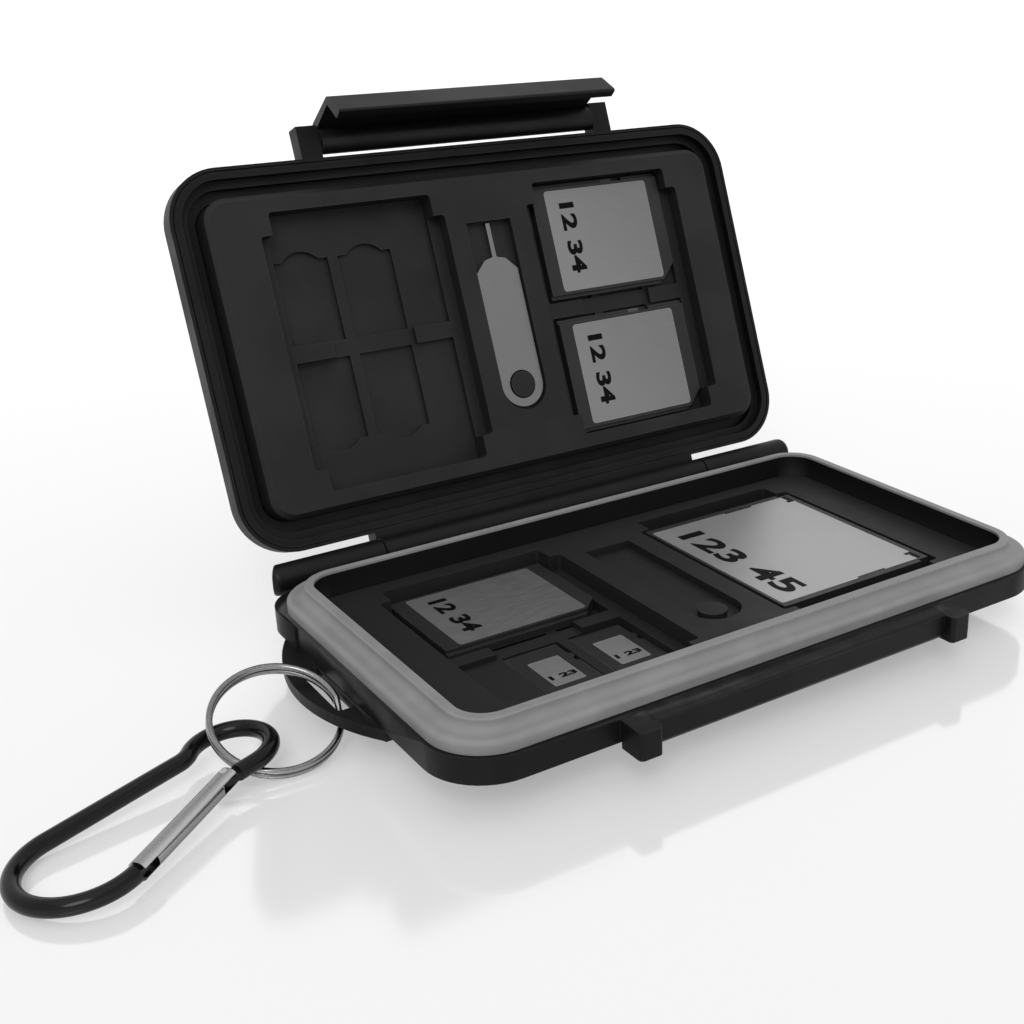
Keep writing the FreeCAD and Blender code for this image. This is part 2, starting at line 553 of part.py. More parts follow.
# Trays: the same mould for both halves, one of them mirrored left to right
def tray(name, side, shrink, edge_size, place):
    body = new_body(name)
    block = new_sketch(body, name + "_block", -d.tray_low)
    rounded(block, d.tray_x - shrink, d.tray_y - shrink, d.tray_corner - shrink)
    grow(body, block, d.tray_low + d.tray_top)
    soften(body, "Chamfer", edge_size, level(d.tray_top.number))
    for half, hand in ((1, "right"), (-1, "left")):
        middle = d.pocket_mid * half
        tag = "%s_%s_" % (name, hand)
        compact = new_sketch(body, tag + "compact", d.tray_top)
        rounded(compact, d.compact_x, d.compact_y, d.pocket_round, middle, 0)
        cut(body, compact, d.tray_top + d.compact_floor)
        secure = new_sketch(body, tag + "secure", d.tray_top)
        rounded(secure, d.secure_x, d.secure_y, d.pocket_round, middle, 0)
        cut(body, secure, d.tray_top + d.compact_floor)
        deep = new_sketch(body, tag + "deep", -d.compact_floor)
        west, east = middle - d.secure_x, middle + d.secure_x
        bar_west, bar_east = west + d.bar_length, east - d.bar_length
        polygon(deep, [(west, -d.secure_y), (east, -d.secure_y), (east, -d.bar_half), (bar_east, -d.bar_half),
                       (bar_east, d.bar_half), (east, d.bar_half), (east, d.secure_y), (west, d.secure_y),
                       (west, d.bar_half), (bar_west, d.bar_half), (bar_west, -d.bar_half),
                       (west, -d.bar_half)])
        cut(body, deep, d.secure_floor - d.compact_floor)
        outer = middle - (d.secure_x - d.micro_x) * side
        inner = outer + (d.micro_x * 2 + d.micro_rib) * side
        for column, column_x in (("outer", outer), ("inner", inner)):
            for end, way in (("back", 1), ("front", -1)):
                card = new_sketch(body, tag + column + "_" + end, -d.secure_floor)
                near, far = d.bar_half * way, (d.bar_half + d.micro_long) * way
                south, north = (near, far) if way > 0 else (far, near)
                rectangle(card, column_x - d.micro_x, column_x + d.micro_x, south, north)
                cut(body, card, d.micro_floor - d.secure_floor)
                arch = new_sketch(body, tag + column + "_" + end + "_arch", -d.secure_floor)
                reach = d.bar_half + d.micro_long + d.arch_out - d.arch_radius
                circle(arch, column_x, reach * way, d.arch_radius)
                cut(body, arch, d.micro_floor - d.secure_floor)
    slot = new_sketch(body, name + "_tool_slot", d.tray_top)
    round_end(slot, d.tool_slot, d.tool_back, -d.tool_front)
    cut(body, slot, d.tool_deep)
    boss = new_sketch(body, name + "_boss", d.tray_top - d.tool_deep)
    circle(boss, 0, -d.boss_y, d.boss_radius)
    grow(body, boss, d.boss_tall)
    finish(body, place)


tray("base_tray", -1, size_of(0), d.base_tray_bevel, base_place)
tray("lid_tray", 1, d.lid_tray_room, d.lid_tray_bevel, lid_place)

# Lid shell
def tilted(y, z):
    """A point given from the hinge axis with the lid open, in the flat drawing of the lid."""
    angle = math.radians(d.lid_open.number)
    turns = {"cos": math.cos(angle), "sin": math.sin(angle)}

    def term(size, turn):
        return Size(size.number * turns[turn], "(%s * %s(Sizes.lid_open * 1 deg))" % (size.text, turn))

    return term(y, "cos") + term(z, "sin") - d.hinge_y, term(z, "cos") - term(y, "sin") + d.lid_axis


lid = new_body("lid_shell")
rim = new_sketch(lid, "lid_rim", -d.lid_wall)
rounded(rim, d.lid_x, d.lid_y, d.lid_corner)
grow(lid, rim, d.lid_wall + d.land)
crown = new_sketch(lid, "lid_crown", -d.lid_wall)
rounded(crown, d.lid_x, d.lid_y, d.lid_corner)
back = new_sketch(lid, "lid_back", -d.lid_back)
rounded(back, d.back_x, d.back_y, d.back_corner)
loft(lid, crown, back)
soften(lid, "Fillet", d.back_round, level(-d.lid_back.number))
for side, name in ((1, "right"), (-1, "left")):
    lug = new_sketch(lid, "latch_ear_" + name, -d.lug_low)
    edges = sorted([d.lug_in * side, d.lug_out * side], key=lambda q: q.number)
    rectangle(lug, edges[0], edges[1], d.lid_y - d.root, d.lug_front)
    grow(lid, lug, d.lug_low + d.land)
barrel = new_sketch(lid, "middle_knuckle", 0, "YZ_Plane")
circle(barrel, -d.hinge_y, d.lid_axis, d.knuckle)
grow(lid, barrel, d.middle_half * 2, both=True)
web = new_sketch(lid, "middle_web", 0, "YZ_Plane")
polygon(web, [(-(d.lid_y - 0.7), -d.lug_low), (-(d.lid_y - 0.7), d.land - 0.02),
              (-d.lid_y - 1.8, d.land - 0.02),
              (-d.hinge_y, d.lid_axis), (-d.hinge_y - 2.35, d.lid_axis - 1.6),
              (-d.hinge_y - 0.75, d.lid_axis - 3.8),
              (-d.lid_y - 2.3, -d.lug_low)])
grow(lid, web, d.middle_half * 2, both=True)
stop = new_sketch(lid, "opening_stop", 0, "YZ_Plane")
near, far = -d.stop_near, d.stop_gap - d.hinge_out
high, low = -d.stop_drop, -d.stop_drop - d.stop_tall
polygon(stop, [tilted(far, low), tilted(far, high), tilted(near, high), tilted(near, low)])
grow(lid, stop, d.stop_half * 2, both=True)
groove = new_sketch(lid, "seal_groove", d.land)
rounded(groove, d.groove_x, d.groove_y, d.groove_corner)
cut(lid, groove, d.land + d.groove_floor)
channel = new_sketch(lid, "tray_channel", -d.groove_floor)
spread = d.channel_width - d.lid_tray_room
rounded(channel, d.tray_x + spread, d.tray_y + spread, d.tray_corner + spread)
cut(lid, channel, d.channel_floor - d.groove_floor)
well = new_sketch(lid, "tray_well", -d.channel_floor)
rounded(well, d.well_x, d.well_y, d.well_corner)
cut(lid, well, d.tray_low - d.channel_floor)
line = new_sketch(lid, "rim_line", d.land)
rounded(line, d.lid_x - d.line_out, d.lid_y - d.line_out, d.lid_corner - d.line_out)
rounded(line, d.lid_x - d.line_in, d.lid_y - d.line_in, d.lid_corner - d.line_in)
cut(lid, line, d.line_deep)
bore = new_sketch(lid, "lid_bore", 0, "YZ_Plane")
circle(bore, -d.hinge_y, d.lid_axis, d.pin_radius + d.pin_room)
cut(lid, bore, d.middle_half * 2 + 2, both=True)
seat = new_sketch(lid, "latch_seat", 0, "YZ_Plane")
circle(seat, d.latch_s, -d.latch_n, d.latch_pin)
cut(lid, seat, d.latch_pin_end * 2, both=True)
finish(lid, lid_place)

# Hinge pin and latch pin, round bars along X
along = FreeCAD.Rotation(V(0, 1, 0), 90)
pin = doc.addObject("Part::Cylinder", "hinge_pin")
pin.Label = "hinge_pin"
give(pin, "Radius", d.pin_radius)
give(pin, "Height", d.pin_end * 2)
finish(pin, FreeCAD.Placement(V(-d.pin_end.number, d.hinge_y.number, d.hinge_z.number), along))
pin = doc.addObject("Part::Cylinder", "latch_pin")
pin.Label = "latch_pin"
give(pin, "Radius", d.latch_pin)
give(pin, "Height", d.latch_pin_end * 2)
pin_start = V(-d.latch_pin_end.number, d.latch_s.number, -d.latch_n.number)
finish(pin, lid_place * FreeCAD.Placement(pin_start, along))

# Latch, drawn about its pin in the closed position and turned out to the open one
latch = new_body("latch")
roll = new_sketch(latch, "latch_roll", 0, "YZ_Plane")
circle(roll, 0, 0, d.latch_round)
grow(latch, roll, d.latch_half * 2, both=True)
arm = new_sketch(latch, "latch_arm", 0, "YZ_Plane")
inside = d.arm_out - d.arm_thick
knee = (d.arm_out - 0.7, d.arm_knee)
hook_tip, hook_top = (-d.hook_reach, d.hook_low), (-d.hook_reach - 0.15, d.hook_low - d.hook_thick)
polygon(arm, [(d.arm_out - 0.2, -0.6), (d.arm_out, 1.0), knee, hook_tip, hook_top,
              (inside - 0.25, d.arm_knee - 1.2),
              (inside, 1.6), (0, 1.8), (0, -1.2), (inside, -1.9)])
grow(latch, arm, d.latch_half * 2, both=True)


def long_edge(points):
    def test(edge):
        box = edge.BoundBox
        if box.YLength > 1e-4 or box.ZLength > 1e-4:
            return False
        return any(abs(box.YMin - y.number) < 1e-3 and abs(box.ZMin - z.number) < 1e-3 for y, z in points)
    return test


soften(latch, "Fillet", d.knee_round, long_edge([knee]))
soften(latch, "Fillet", d.hook_round, long_edge([hook_tip, hook_top]))
bore = new_sketch(latch, "latch_bore", 0, "YZ_Plane")
circle(bore, 0, 0, d.latch_pin + d.latch_room)
cut(latch, bore, d.latch_half * 2 + 2, both=True)
latch_turn = FreeCAD.Rotation(V(1, 0, 0), -d.latch_turn.number)
finish(latch, lid_place * FreeCAD.Placement(V(0, d.latch_s.number, -d.latch_n.number), latch_turn))

# Flat tool in the lid slot
tool = new_body("sim_tool")
shape = new_sketch(tool, "tool_outline", 0)
needle, neck, shoulder = d.tool_needle, d.tool_neck, d.tool_shoulder
polygon(shape, [(d.tool_half, -d.boss_y), (d.tool_half, shoulder - d.tool_taper), (neck, shoulder),
                (needle, shoulder + 0.5), (needle, d.tool_tip), (-needle, d.tool_tip),
                (-needle, shoulder + 0.5),
                (-neck, shoulder), (-d.tool_half, shoulder - d.tool_taper), (-d.tool_half, -d.boss_y)])
grow(tool, shape, d.tool_thick)
end = new_sketch(tool, "tool_end", 0)
circle(end, 0, d.tool_half - d.tool_low, d.tool_half)
grow(tool, end, d.tool_thick)
hole = new_sketch(tool, "tool_eye", d.tool_thick)
circle(hole, 0, -d.boss_y, d.tool_eye)
cut(tool, hole, d.tool_thick)
finish(tool, lid_place * moved(z=d.tray_top - d.tool_deep))


# SD card: body with side rails, label recess, switch notch and contact recess
def contacts(name, half_x, half_y, thick, pitch, gap, count, along_y, place):
    """Strip of contact pads parted by grooves."""
    body = new_body(name)
    strip = new_sketch(body, name + "_strip", 0)
    rectangle(strip, -half_x, half_x, -half_y, half_y)
    grow(body, strip, thick)
    groove = new_sketch(body, name + "_groove", 0)
    first = pitch * (-(count - 2) / 2)
    if along_y:
        rectangle(groove, -half_x - 1, half_x + 1, first - gap * 0.5, first + gap * 0.5)
    else:
        rectangle(groove, first - gap * 0.5, first + gap * 0.5, -half_y - 1, half_y + 1)
    slit = cut(body, groove, thick * 0.5, up=True)
    rows = body.newObject("PartDesign::LinearPattern", name + "_rows")
    rows.Originals = [slit]
    rows.Direction = (groove, ["V_Axis" if along_y else "H_Axis"])
    give(rows, "Length", pitch * (count - 2))
    rows.Occurrences = count - 1
    body.Tip = rows
    doc.recompute()
    finish(body, place)


def sd_card(name, place):
    body = new_body(name + "_body")
    outline = new_sketch(body, name + "_outline", -d.sd_thick)
    polygon(outline, [(-d.sd_x, -d.sd_y), (d.sd_x - d.sd_cut, -d.sd_y),
                      (d.sd_x, d.sd_cut - d.sd_y), (d.sd_x, d.sd_y),
                      (-d.sd_x, d.sd_y)])
    grow(body, outline, d.sd_thick)
    for way, end in ((1, "back"), (-1, "front")):
        rail = new_sketch(body, name + "_rail_" + end, 0)
        south, north = sorted([(d.sd_y - d.sd_rail) * way, (d.sd_y + 1) * way], key=lambda q: q.number)
        rectangle(rail, -d.sd_x - 1, d.sd_x + 1, south, north)
        cut(body, rail, d.sd_step)
    recess = new_sketch(body, name + "_recess", 0)
    rounded(recess, d.sd_label_x, d.sd_label_y, d.label_round)
    cut(body, recess, d.label_thick)
    notch = new_sketch(body, name + "_notch", -d.sd_step)
    left = d.switch_left - d.switch_room
    right = d.switch_left + d.switch_length + d.switch_travel + d.switch_room * 2
    rectangle(notch, left, right, d.sd_y - d.switch_deep, d.sd_y + 1)
    cut(body, notch, d.sd_thick - d.sd_step - 0.3)
    track = new_sketch(body, name + "_track", 0.9 - d.sd_thick)
    rectangle(track, left, right, d.sd_y - d.switch_deep - 0.6, d.sd_y)
    cut(body, track, 0.4)
    bed = new_sketch(body, name + "_bed", -d.sd_thick)
    rectangle(bed, d.pad_mid_x - d.pad_row_x, d.pad_mid_x + d.pad_row_x, d.pad_mid_y - d.pad_row_y,
              d.pad_mid_y + d.pad_row_y)
    cut(body, bed, d.pad_thick, up=True)
    finish(body, place)
    label = new_body(name + "_label")
    face = new_sketch(label, name + "_label_face", -d.label_thick)
    rounded(face, d.sd_label_x - d.label_room, d.sd_label_y - d.label_room, d.label_round - d.label_room)
    grow(label, face, d.label_thick)
    finish(label, place)
    switch = new_body(name + "_switch")
    knob = new_sketch(switch, name + "_knob", 0.35 - d.sd_thick)
    inner = d.sd_y - d.switch_deep
    rectangle(knob, d.switch_left, d.switch_left + d.switch_length, inner + d.switch_room, d.sd_y - 0.05)
    grow(switch, knob, d.sd_thick - d.sd_step - 0.35 - d.switch_room)
    tongue = new_sketch(switch, name + "_tongue", 0.6 - d.sd_thick)
    rectangle(tongue, d.switch_left, d.switch_left + d.switch_length, inner - 0.5, inner + 0.6)
    grow(switch, tongue, 0.2)
    finish(switch, place)
    contacts(name + "_contacts", d.pad_row_x, d.pad_row_y, d.pad_thick, d.pad_pitch, d.pad_gap, 9, True,
             place * moved(d.pad_mid_x, d.pad_mid_y, -d.sd_thick))


sd_card("sd_a", lid_place * moved(d.pocket_mid, d.sd_row, 0))
sd_card("sd_b", lid_place * moved(d.pocket_mid, -d.sd_row, 0))
sd_card("sd_c", base_place * moved(-d.pocket_mid, d.sd_row, 0))


# MicroSD card: narrow contact end to the back, finger grip at the front
def micro_card(name, place):
    body = new_body(name + "_body")
    outline = new_sketch(body, name + "_outline", 0)
    x, y, neck = d.ms_x, d.ms_y, d.ms_neck
    polygon(outline, [(-x, -y), (x, -y), (x, 0.1), (x - 0.75, 0.55), (x - 0.75, 1.6), (x, 2.05), (x, 2.9),
                      (neck, 3.5), (neck, y), (-x, y)])
    grow(body, outline, d.ms_thick)
    grip = new_sketch(body, name + "_grip", d.ms_thick)
    rectangle(grip, -x + 0.3, x - 0.3, -y, d.ms_grip_long - y)
    grow(body, grip, d.ms_grip)
    recess = new_sketch(body, name + "_recess", d.ms_thick)
    rounded(recess, d.ms_label_x, d.ms_label_y, 0.4, 0, -d.ms_label_low)
    cut(body, recess, d.label_thick)
    bed = new_sketch(body, name + "_bed", 0)
    pads_y = y - d.ms_pad_end
    rectangle(bed, -d.ms_pad_x - 0.2, d.ms_pad_x - 0.2, pads_y - d.ms_pad_y, pads_y + d.ms_pad_y)
    cut(body, bed, d.ms_pad_thick, up=True)
    finish(body, place)
    label = new_body(name + "_label")
    face = new_sketch(label, name + "_label_face", d.ms_thick - d.label_thick)
    rounded(face, d.ms_label_x - d.label_room, d.ms_label_y - d.label_room, 0.35, 0, -d.ms_label_low)
    grow(label, face, d.label_thick)
    finish(label, place)
    contacts(name + "_contacts", d.ms_pad_x, d.ms_pad_y, d.ms_pad_thick, d.ms_pad_pitch,
             d.ms_pad_gap, 8, False,
             place * moved(-0.2, pads_y, 0))


middle_x = -d.pocket_mid + (d.secure_x - d.micro_x)
next_x = middle_x - (d.micro_x * 2 + d.micro_rib)
front_y = -(d.bar_half + d.micro_long * 0.5)
micro_card("micro_a", base_place * moved(next_x, front_y, -d.micro_floor))
micro_card("micro_b", base_place * moved(middle_x, front_y, -d.micro_floor))

# CompactFlash card: plastic frame, two plates and a socket block along one edge
frame = new_body("cf_frame")
outline = new_sketch(frame, "cf_outline", 0)
x, y = d.cf_x, d.cf_y
step_x, step_y = x - d.cf_notch_long, y - d.cf_notch_deep
polygon(outline, [(-x, -y), (step_x, -y), (step_x, -step_y), (x, -step_y), (x, step_y),
                  (step_x, step_y), (step_x, y),
                  (-x, y)])
grow(frame, outline, d.cf_thick)
for end, height, way in (("top", d.cf_thick, False), ("bottom", size_of(0), True)):
    bed = new_sketch(frame, "cf_bed_" + end, height)
    room = d.label_room
    rounded(bed, d.plate_x + room, d.plate_y + room, d.plate_round + room, -d.plate_shift, 0)
    cut(frame, bed, d.plate_thick, up=way)
window = new_sketch(frame, "cf_window", d.cf_thick)
rectangle(window, d.cf_rim - d.cf_x, d.cf_x - 1.6, d.cf_rim - d.plate_y, d.plate_y - d.cf_rim)
cut(frame, window, d.cf_thick)
mouth = new_sketch(frame, "cf_mouth", d.cf_thick * 0.5 - d.socket_half)
rectangle(mouth, step_x, d.cf_x + 1, -d.socket_long, d.socket_long)
cut(frame, mouth, d.socket_half * 2, up=True)
cf_place = base_place * moved(d.pocket_mid, 0, -d.compact_floor)
finish(frame, cf_place)
for name, height in (("cf_top_plate", d.cf_thick - d.plate_thick), ("cf_bottom_plate", size_of(0))):
    plate = new_body(name)
    face = new_sketch(plate, name + "_face", height)
    rounded(face, d.plate_x, d.plate_y, d.plate_round, -d.plate_shift, 0)
    grow(plate, face, d.plate_thick)
    finish(plate, cf_place)
socket = new_body("cf_socket")
block = new_sketch(socket, "cf_socket_block", d.cf_thick * 0.5 - d.socket_half)
front = d.cf_x - d.socket_back
rectangle(block, front - d.socket_wide, front, d.label_room - d.socket_long, d.socket_long - d.label_room)
grow(socket, block, d.socket_half * 2)
hole = new_sketch(socket, "cf_hole", front, "YZ_Plane")
circle(hole, d.hole_pitch * -12, d.cf_thick * 0.5 - d.hole_pitch * 0.4, d.hole_radius)
first = cut(socket, hole, d.hole_deep)
holes = socket.newObject("PartDesign::LinearPattern", "cf_holes")
holes.Originals = [first]
holes.Direction = (hole, ["H_Axis"])
give(holes, "Length", d.hole_pitch * 24)
holes.Occurrences = 25
holes.Direction2 = (hole, ["V_Axis"])
give(holes, "Length2", d.hole_pitch * 0.8)
holes.Occurrences2 = 2
socket.Tip = holes
doc.recompute()
finish(socket, cf_place)

# Key ring: two turns of wire joined by a slanted step
ring_turn = FreeCAD.Rotation(-3.1, 0, 26.2)
ring_out = ring_turn.multVec(V(1, 0, 0))
in_eye = V(-(d.shell_x + d.ring_in_eye).number, d.ring_y.number, (d.wall_low + d.ring_rise).number)
ring_place = FreeCAD.Placement(in_eye - ring_out * d.ring_radius.number, ring_turn)
spin = FreeCAD.Rotation(V(0, 0, 1), d.ring_step.number)
pieces = []
for name, way in (("low_turn", -1), ("high_turn", 1)):
    turn = doc.addObject("Part::Torus", name)
    give(turn, "Radius1", d.ring_radius)
    give(turn, "Radius2", d.ring_wire)
    turn.setExpression("Angle3", "360 - Sizes.ring_gap")
    tilt = FreeCAD.Rotation(V(0, 0, 1), d.ring_gap.number / 2)
    turn.Placement = FreeCAD.Placement(V(0, 0, d.ring_coil.number * way), tilt)
    pieces.append(turn)
half_gap = math.radians(d.ring_gap.number / 2)
across = d.ring_radius.number * math.cos(half_gap)
aside = d.ring_radius.number * math.sin(half_gap)
start = V(across, -aside, -d.ring_coil.number)
finish_point = V(across, aside, d.ring_coil.number)
step = doc.addObject("Part::Cylinder", "step")
give(step, "Radius", d.ring_wire)
step.Height = (finish_point - start).Length
step.Placement = FreeCAD.Placement(start, FreeCAD.Rotation(V(0, 0, 1), finish_point - start))
pieces.append(step)
for name, point in (("step_start", start), ("step_end", finish_point)):
    ball = doc.addObject("Part::Sphere", name)
    give(ball, "Radius", d.ring_wire + 0.012)
    ball.Placement = FreeCAD.Placement(point, FreeCAD.Rotation())
    pieces.append(ball)
ring = doc.addObject("Part::MultiFuse", "key_ring")
ring.Label = "key_ring"
ring.Shapes = pieces
doc.recompute()
finish(ring, ring_place * FreeCAD.Placement(V(0, 0, 0), spin))

# Carabiner: a bent rod with a tang for the gate pivot at one end and a tongue at the other
hook = new_body("carabiner_body")
path = new_sketch(hook, "rod_path", 0)
nx, ny, nr = d.narrow_x.number, d.narrow_y.number, d.narrow_radius.number
kr, sy, wx, wr = d.kink_radius.number, d.spine_y.number, d.wide_x.number, d.wide_radius.number
hook_turn = FreeCAD.Rotation(-162.75, 4.336, 2.61)
far_side = in_eye - ring_out * (d.ring_radius.number * 2)
bend_inside = hook_turn.multVec(V(nx - nr + d.rod.number, ny, 0))
hang = V(d.hang_x.number, d.hang_y.number, d.hang_z.number)
carabiner_place = FreeCAD.Placement(far_side + hang - bend_inside, hook_turn)
bend = math.degrees(math.acos((ny + kr - sy) / (nr + kr)))
kink_x = nx + (nr + kr) * math.sin(math.radians(bend))
lead = segment(path, (d.rod_start.number, ny + nr), (nx, ny + nr))
narrow = arc(path, (nx, ny), nr, 90, 270 + bend)
kink = arc(path, (kink_x, sy - kr), kr, 90, 90 + bend)
spine = segment(path, (kink_x, sy), (wx, sy))
wide = arc(path, (wx, sy + wr), wr, -90, d.nose_angle.number)
meetings = ((lead, 2, narrow, 1), (narrow, 2, kink, 2), (kink, 1, spine, 1), (spine, 2, wide, 1))
for one, point, two, other in meetings:
    path.addConstraint(Sketcher.Constraint("Tangent", one, point, two, other))
path.addConstraint(Sketcher.Constraint("Horizontal", lead))
path.addConstraint(Sketcher.Constraint("Horizontal", spine))
bind(path, "Radius", narrow, d.narrow_radius)
bind(path, "Radius", kink, d.kink_radius)
bind(path, "Radius", wide, d.wide_radius)
hold(path, narrow, 3, x=d.narrow_x, y=d.narrow_y)
hold(path, lead, 1, x=d.rod_start)
hold(path, spine, 1, y=d.spine_y)
hold(path, spine, 2, x=d.wide_x)
nose = math.radians(d.nose_angle.number)
nose_x, nose_y = wx + wr * math.cos(nose), sy + wr + wr * math.sin(nose)
hold(path, wide, 2, x=Size(nose_x, "(Sizes.wide_x + Sizes.wide_radius * cos(Sizes.nose_angle * 1 deg))"))
section = new_sketch(hook, "rod_section", d.rod_start, "YZ_Plane")
circle(section, d.narrow_y + d.narrow_radius, 0, d.rod)
doc.recompute()
pipe = hook.newObject("PartDesign::AdditivePipe", "rod_pipe")
pipe.Profile = section
pipe.Spine = (path, ["Edge%d" % (i + 1) for i in range(len(path.Shape.Edges))])
path.Visibility = False
section.Visibility = False
doc.recompute()
pivot_y = d.narrow_y + d.narrow_radius
tang = new_sketch(hook, "tang", 0)
px, py, tr = d.pivot_x.number, pivot_y.number, d.tang_radius.number
root = d.rod_start - 0.8
sides = [segment(tang, (px, py + tr), (root.number, py + tr)), segment(tang, (root.number, py + tr),
         (root.number, py - tr)), segment(tang, (root.number, py - tr), (px, py - tr))]
tip = arc(tang, (px, py), tr, -90, 90)
tang.addConstraint(Sketcher.Constraint("Coincident", sides[0], 2, sides[1], 1))
tang.addConstraint(Sketcher.Constraint("Coincident", sides[1], 2, sides[2], 1))
tang.addConstraint(Sketcher.Constraint("Tangent", sides[2], 2, tip, 1))
tang.addConstraint(Sketcher.Constraint("Tangent", tip, 2, sides[0], 1))
tang.addConstraint(Sketcher.Constraint("Horizontal", sides[0]))
tang.addConstraint(Sketcher.Constraint("Vertical", sides[1]))
hold(tang, tip, 3, x=d.pivot_x, y=pivot_y)
hold(tang, sides[0], 2, x=root)
bind(tang, "Radius", tip, d.tang_radius)
grow(hook, tang, d.tang_thick, both=True)
hole = new_sketch(hook, "tang_hole", 0)
circle(hole, d.pivot_x, pivot_y, d.rivet + d.rivet_room)
cut(hook, hole, d.tang_thick * 2, both=True)
run = V(nose_x - px, nose_y - py, 0)
gate_length = run.Length
gate_angle = math.degrees(math.atan2(run.y, run.x))
ux, uy = run.x / gate_length, run.y / gate_length
corners = [(0.7, -0.85), (0.7, 0.85), (-2.2, 0.85), (-2.2, -0.85)]
tongue = new_sketch(hook, "nose_tongue", 0)
polygon(tongue, [(nose_x + a * ux - c * uy, nose_y + a * uy + c * ux) for a, c in corners])
grow(hook, tongue, d.tang_thick, both=True)
finish(hook, carabiner_place)

# Gate: a tube forked at both ends, turning on its rivet
gate_place = carabiner_place * FreeCAD.Placement(V(px, py, 0), FreeCAD.Rotation(V(0, 0, 1), gate_angle))
gate = new_body("carabiner_gate")
tube = new_sketch(gate, "gate_tube", -d.gate_back, "YZ_Plane")
circle(tube, 0, 0, d.gate_radius)
grow(gate, tube, d.gate_back + gate_length - d.gate_gap)
bore = new_sketch(gate, "gate_bore", -d.gate_back, "YZ_Plane")
circle(bore, 0, 0, d.gate_bore)
cut(gate, bore, d.gate_back + d.spring_start + d.spring_length + 1.25, up=True)
fork = new_sketch(gate, "gate_fork", 0)
rectangle(fork, -d.gate_back - 1, 2.6, -d.gate_radius - 1, d.gate_radius + 1)
cut(gate, fork, d.fork_half * 2, both=True)
mouth = new_sketch(gate, "gate_mouth", 0)
rectangle(mouth, gate_length - 3.4, gate_length + 1, -d.gate_radius - 1, d.gate_radius + 1)
cut(gate, mouth, d.fork_half * 2, both=True)
hole = new_sketch(gate, "gate_hole", 0)
circle(hole, 0, 0, d.rivet)
cut(gate, hole, d.gate_radius * 2 + 2, both=True)
finish(gate, gate_place)
rivet = doc.addObject("Part::Cylinder", "gate_rivet")
rivet.Label = "gate_rivet"
give(rivet, "Radius", d.rivet)
give(rivet, "Height", d.rivet_length)
finish(rivet, gate_place * moved(z=d.rivet_length * -0.5))
plunger = doc.addObject("Part::Cylinder", "gate_plunger")
plunger.Label = "gate_plunger"
give(plunger, "Radius", d.gate_bore - d.plunger_room)
give(plunger, "Height", d.plunger_length)
finish(plunger, gate_place * FreeCAD.Placement(V(d.plunger_start.number, 0, 0), along))
coil_radius = (d.gate_bore - d.spring_room - d.spring_wire).number
coil = Part.makeHelix(d.spring_pitch.number, d.spring_length.number, coil_radius)
section = Part.Wire([Part.Circle(V(coil_radius, 0, 0), V(0, 1, 0), d.spring_wire.number).toShape()])
spring = doc.addObject("Part::Feature", "gate_spring")
spring.Label = "gate_spring"
spring.Shape = Part.Wire(coil.Edges).makePipeShell([section], True, True)
finish(spring, gate_place * FreeCAD.Placement(V(d.spring_start.number, 0, 0), along))

# Check every object, then write each piece
doc.recompute()
for thing in doc.Objects:
    if "Invalid" in thing.State or "Error" in thing.State:
        raise RuntimeError("faulty object " + thing.Name)
for node in nodes:
    shape = node.Shape
    if shape.isNull() or not shape.isValid() or len(shape.Solids) != 1:
        raise RuntimeError("faulty piece %s with %d solids" % (node.Label, len(shape.Solids)))
    shape.exportStep("parts/%s.step" % node.Label)
print(len(nodes), "pieces written")
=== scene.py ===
import bmesh
import bpy
import math

from mathutils import Matrix, Vector


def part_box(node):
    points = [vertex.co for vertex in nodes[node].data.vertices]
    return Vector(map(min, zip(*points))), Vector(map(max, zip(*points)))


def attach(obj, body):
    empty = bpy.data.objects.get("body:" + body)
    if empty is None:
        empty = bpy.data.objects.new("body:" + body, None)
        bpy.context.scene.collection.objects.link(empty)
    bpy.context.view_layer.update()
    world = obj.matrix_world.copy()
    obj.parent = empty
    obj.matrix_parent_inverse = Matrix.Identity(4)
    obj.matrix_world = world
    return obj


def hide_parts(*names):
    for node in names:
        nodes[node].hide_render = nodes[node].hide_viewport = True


# Lengths are in millimetres unless a line says otherwise
MM = 0.001
LID_TILT = math.radians(69.43)
LID_CENTRE = Vector((0, 56.45, 49.28))
LID_TURN = Matrix.Rotation(LID_TILT, 4, "X")
LID_PLACE = Matrix.Translation(LID_CENTRE * MM) @ LID_TURN

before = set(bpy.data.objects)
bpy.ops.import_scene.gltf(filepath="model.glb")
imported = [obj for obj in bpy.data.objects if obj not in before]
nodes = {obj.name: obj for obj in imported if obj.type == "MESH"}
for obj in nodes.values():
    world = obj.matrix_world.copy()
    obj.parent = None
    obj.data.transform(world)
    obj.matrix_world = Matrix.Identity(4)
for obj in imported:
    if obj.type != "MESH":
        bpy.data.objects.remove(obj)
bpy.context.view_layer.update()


class Wire:
    """An output socket that can stand in a sum."""

    def __init__(self, finish, socket):
        self.finish = finish
        self.socket = socket

    def sum(self, operation, first, second):
        return self.finish.node("ShaderNodeMath", {"operation": operation}, {0: first, 1: second})

    def __add__(self, other):
        return self.sum("ADD", self, other)

    def __radd__(self, other):
        return self.sum("ADD", other, self)

    def __sub__(self, other):
        return self.sum("SUBTRACT", self, other)

    def __rsub__(self, other):
        return self.sum("SUBTRACT", other, self)

    def __mul__(self, other):
        return self.sum("MULTIPLY", self, other)

    def __rmul__(self, other):
        return self.sum("MULTIPLY", other, self)


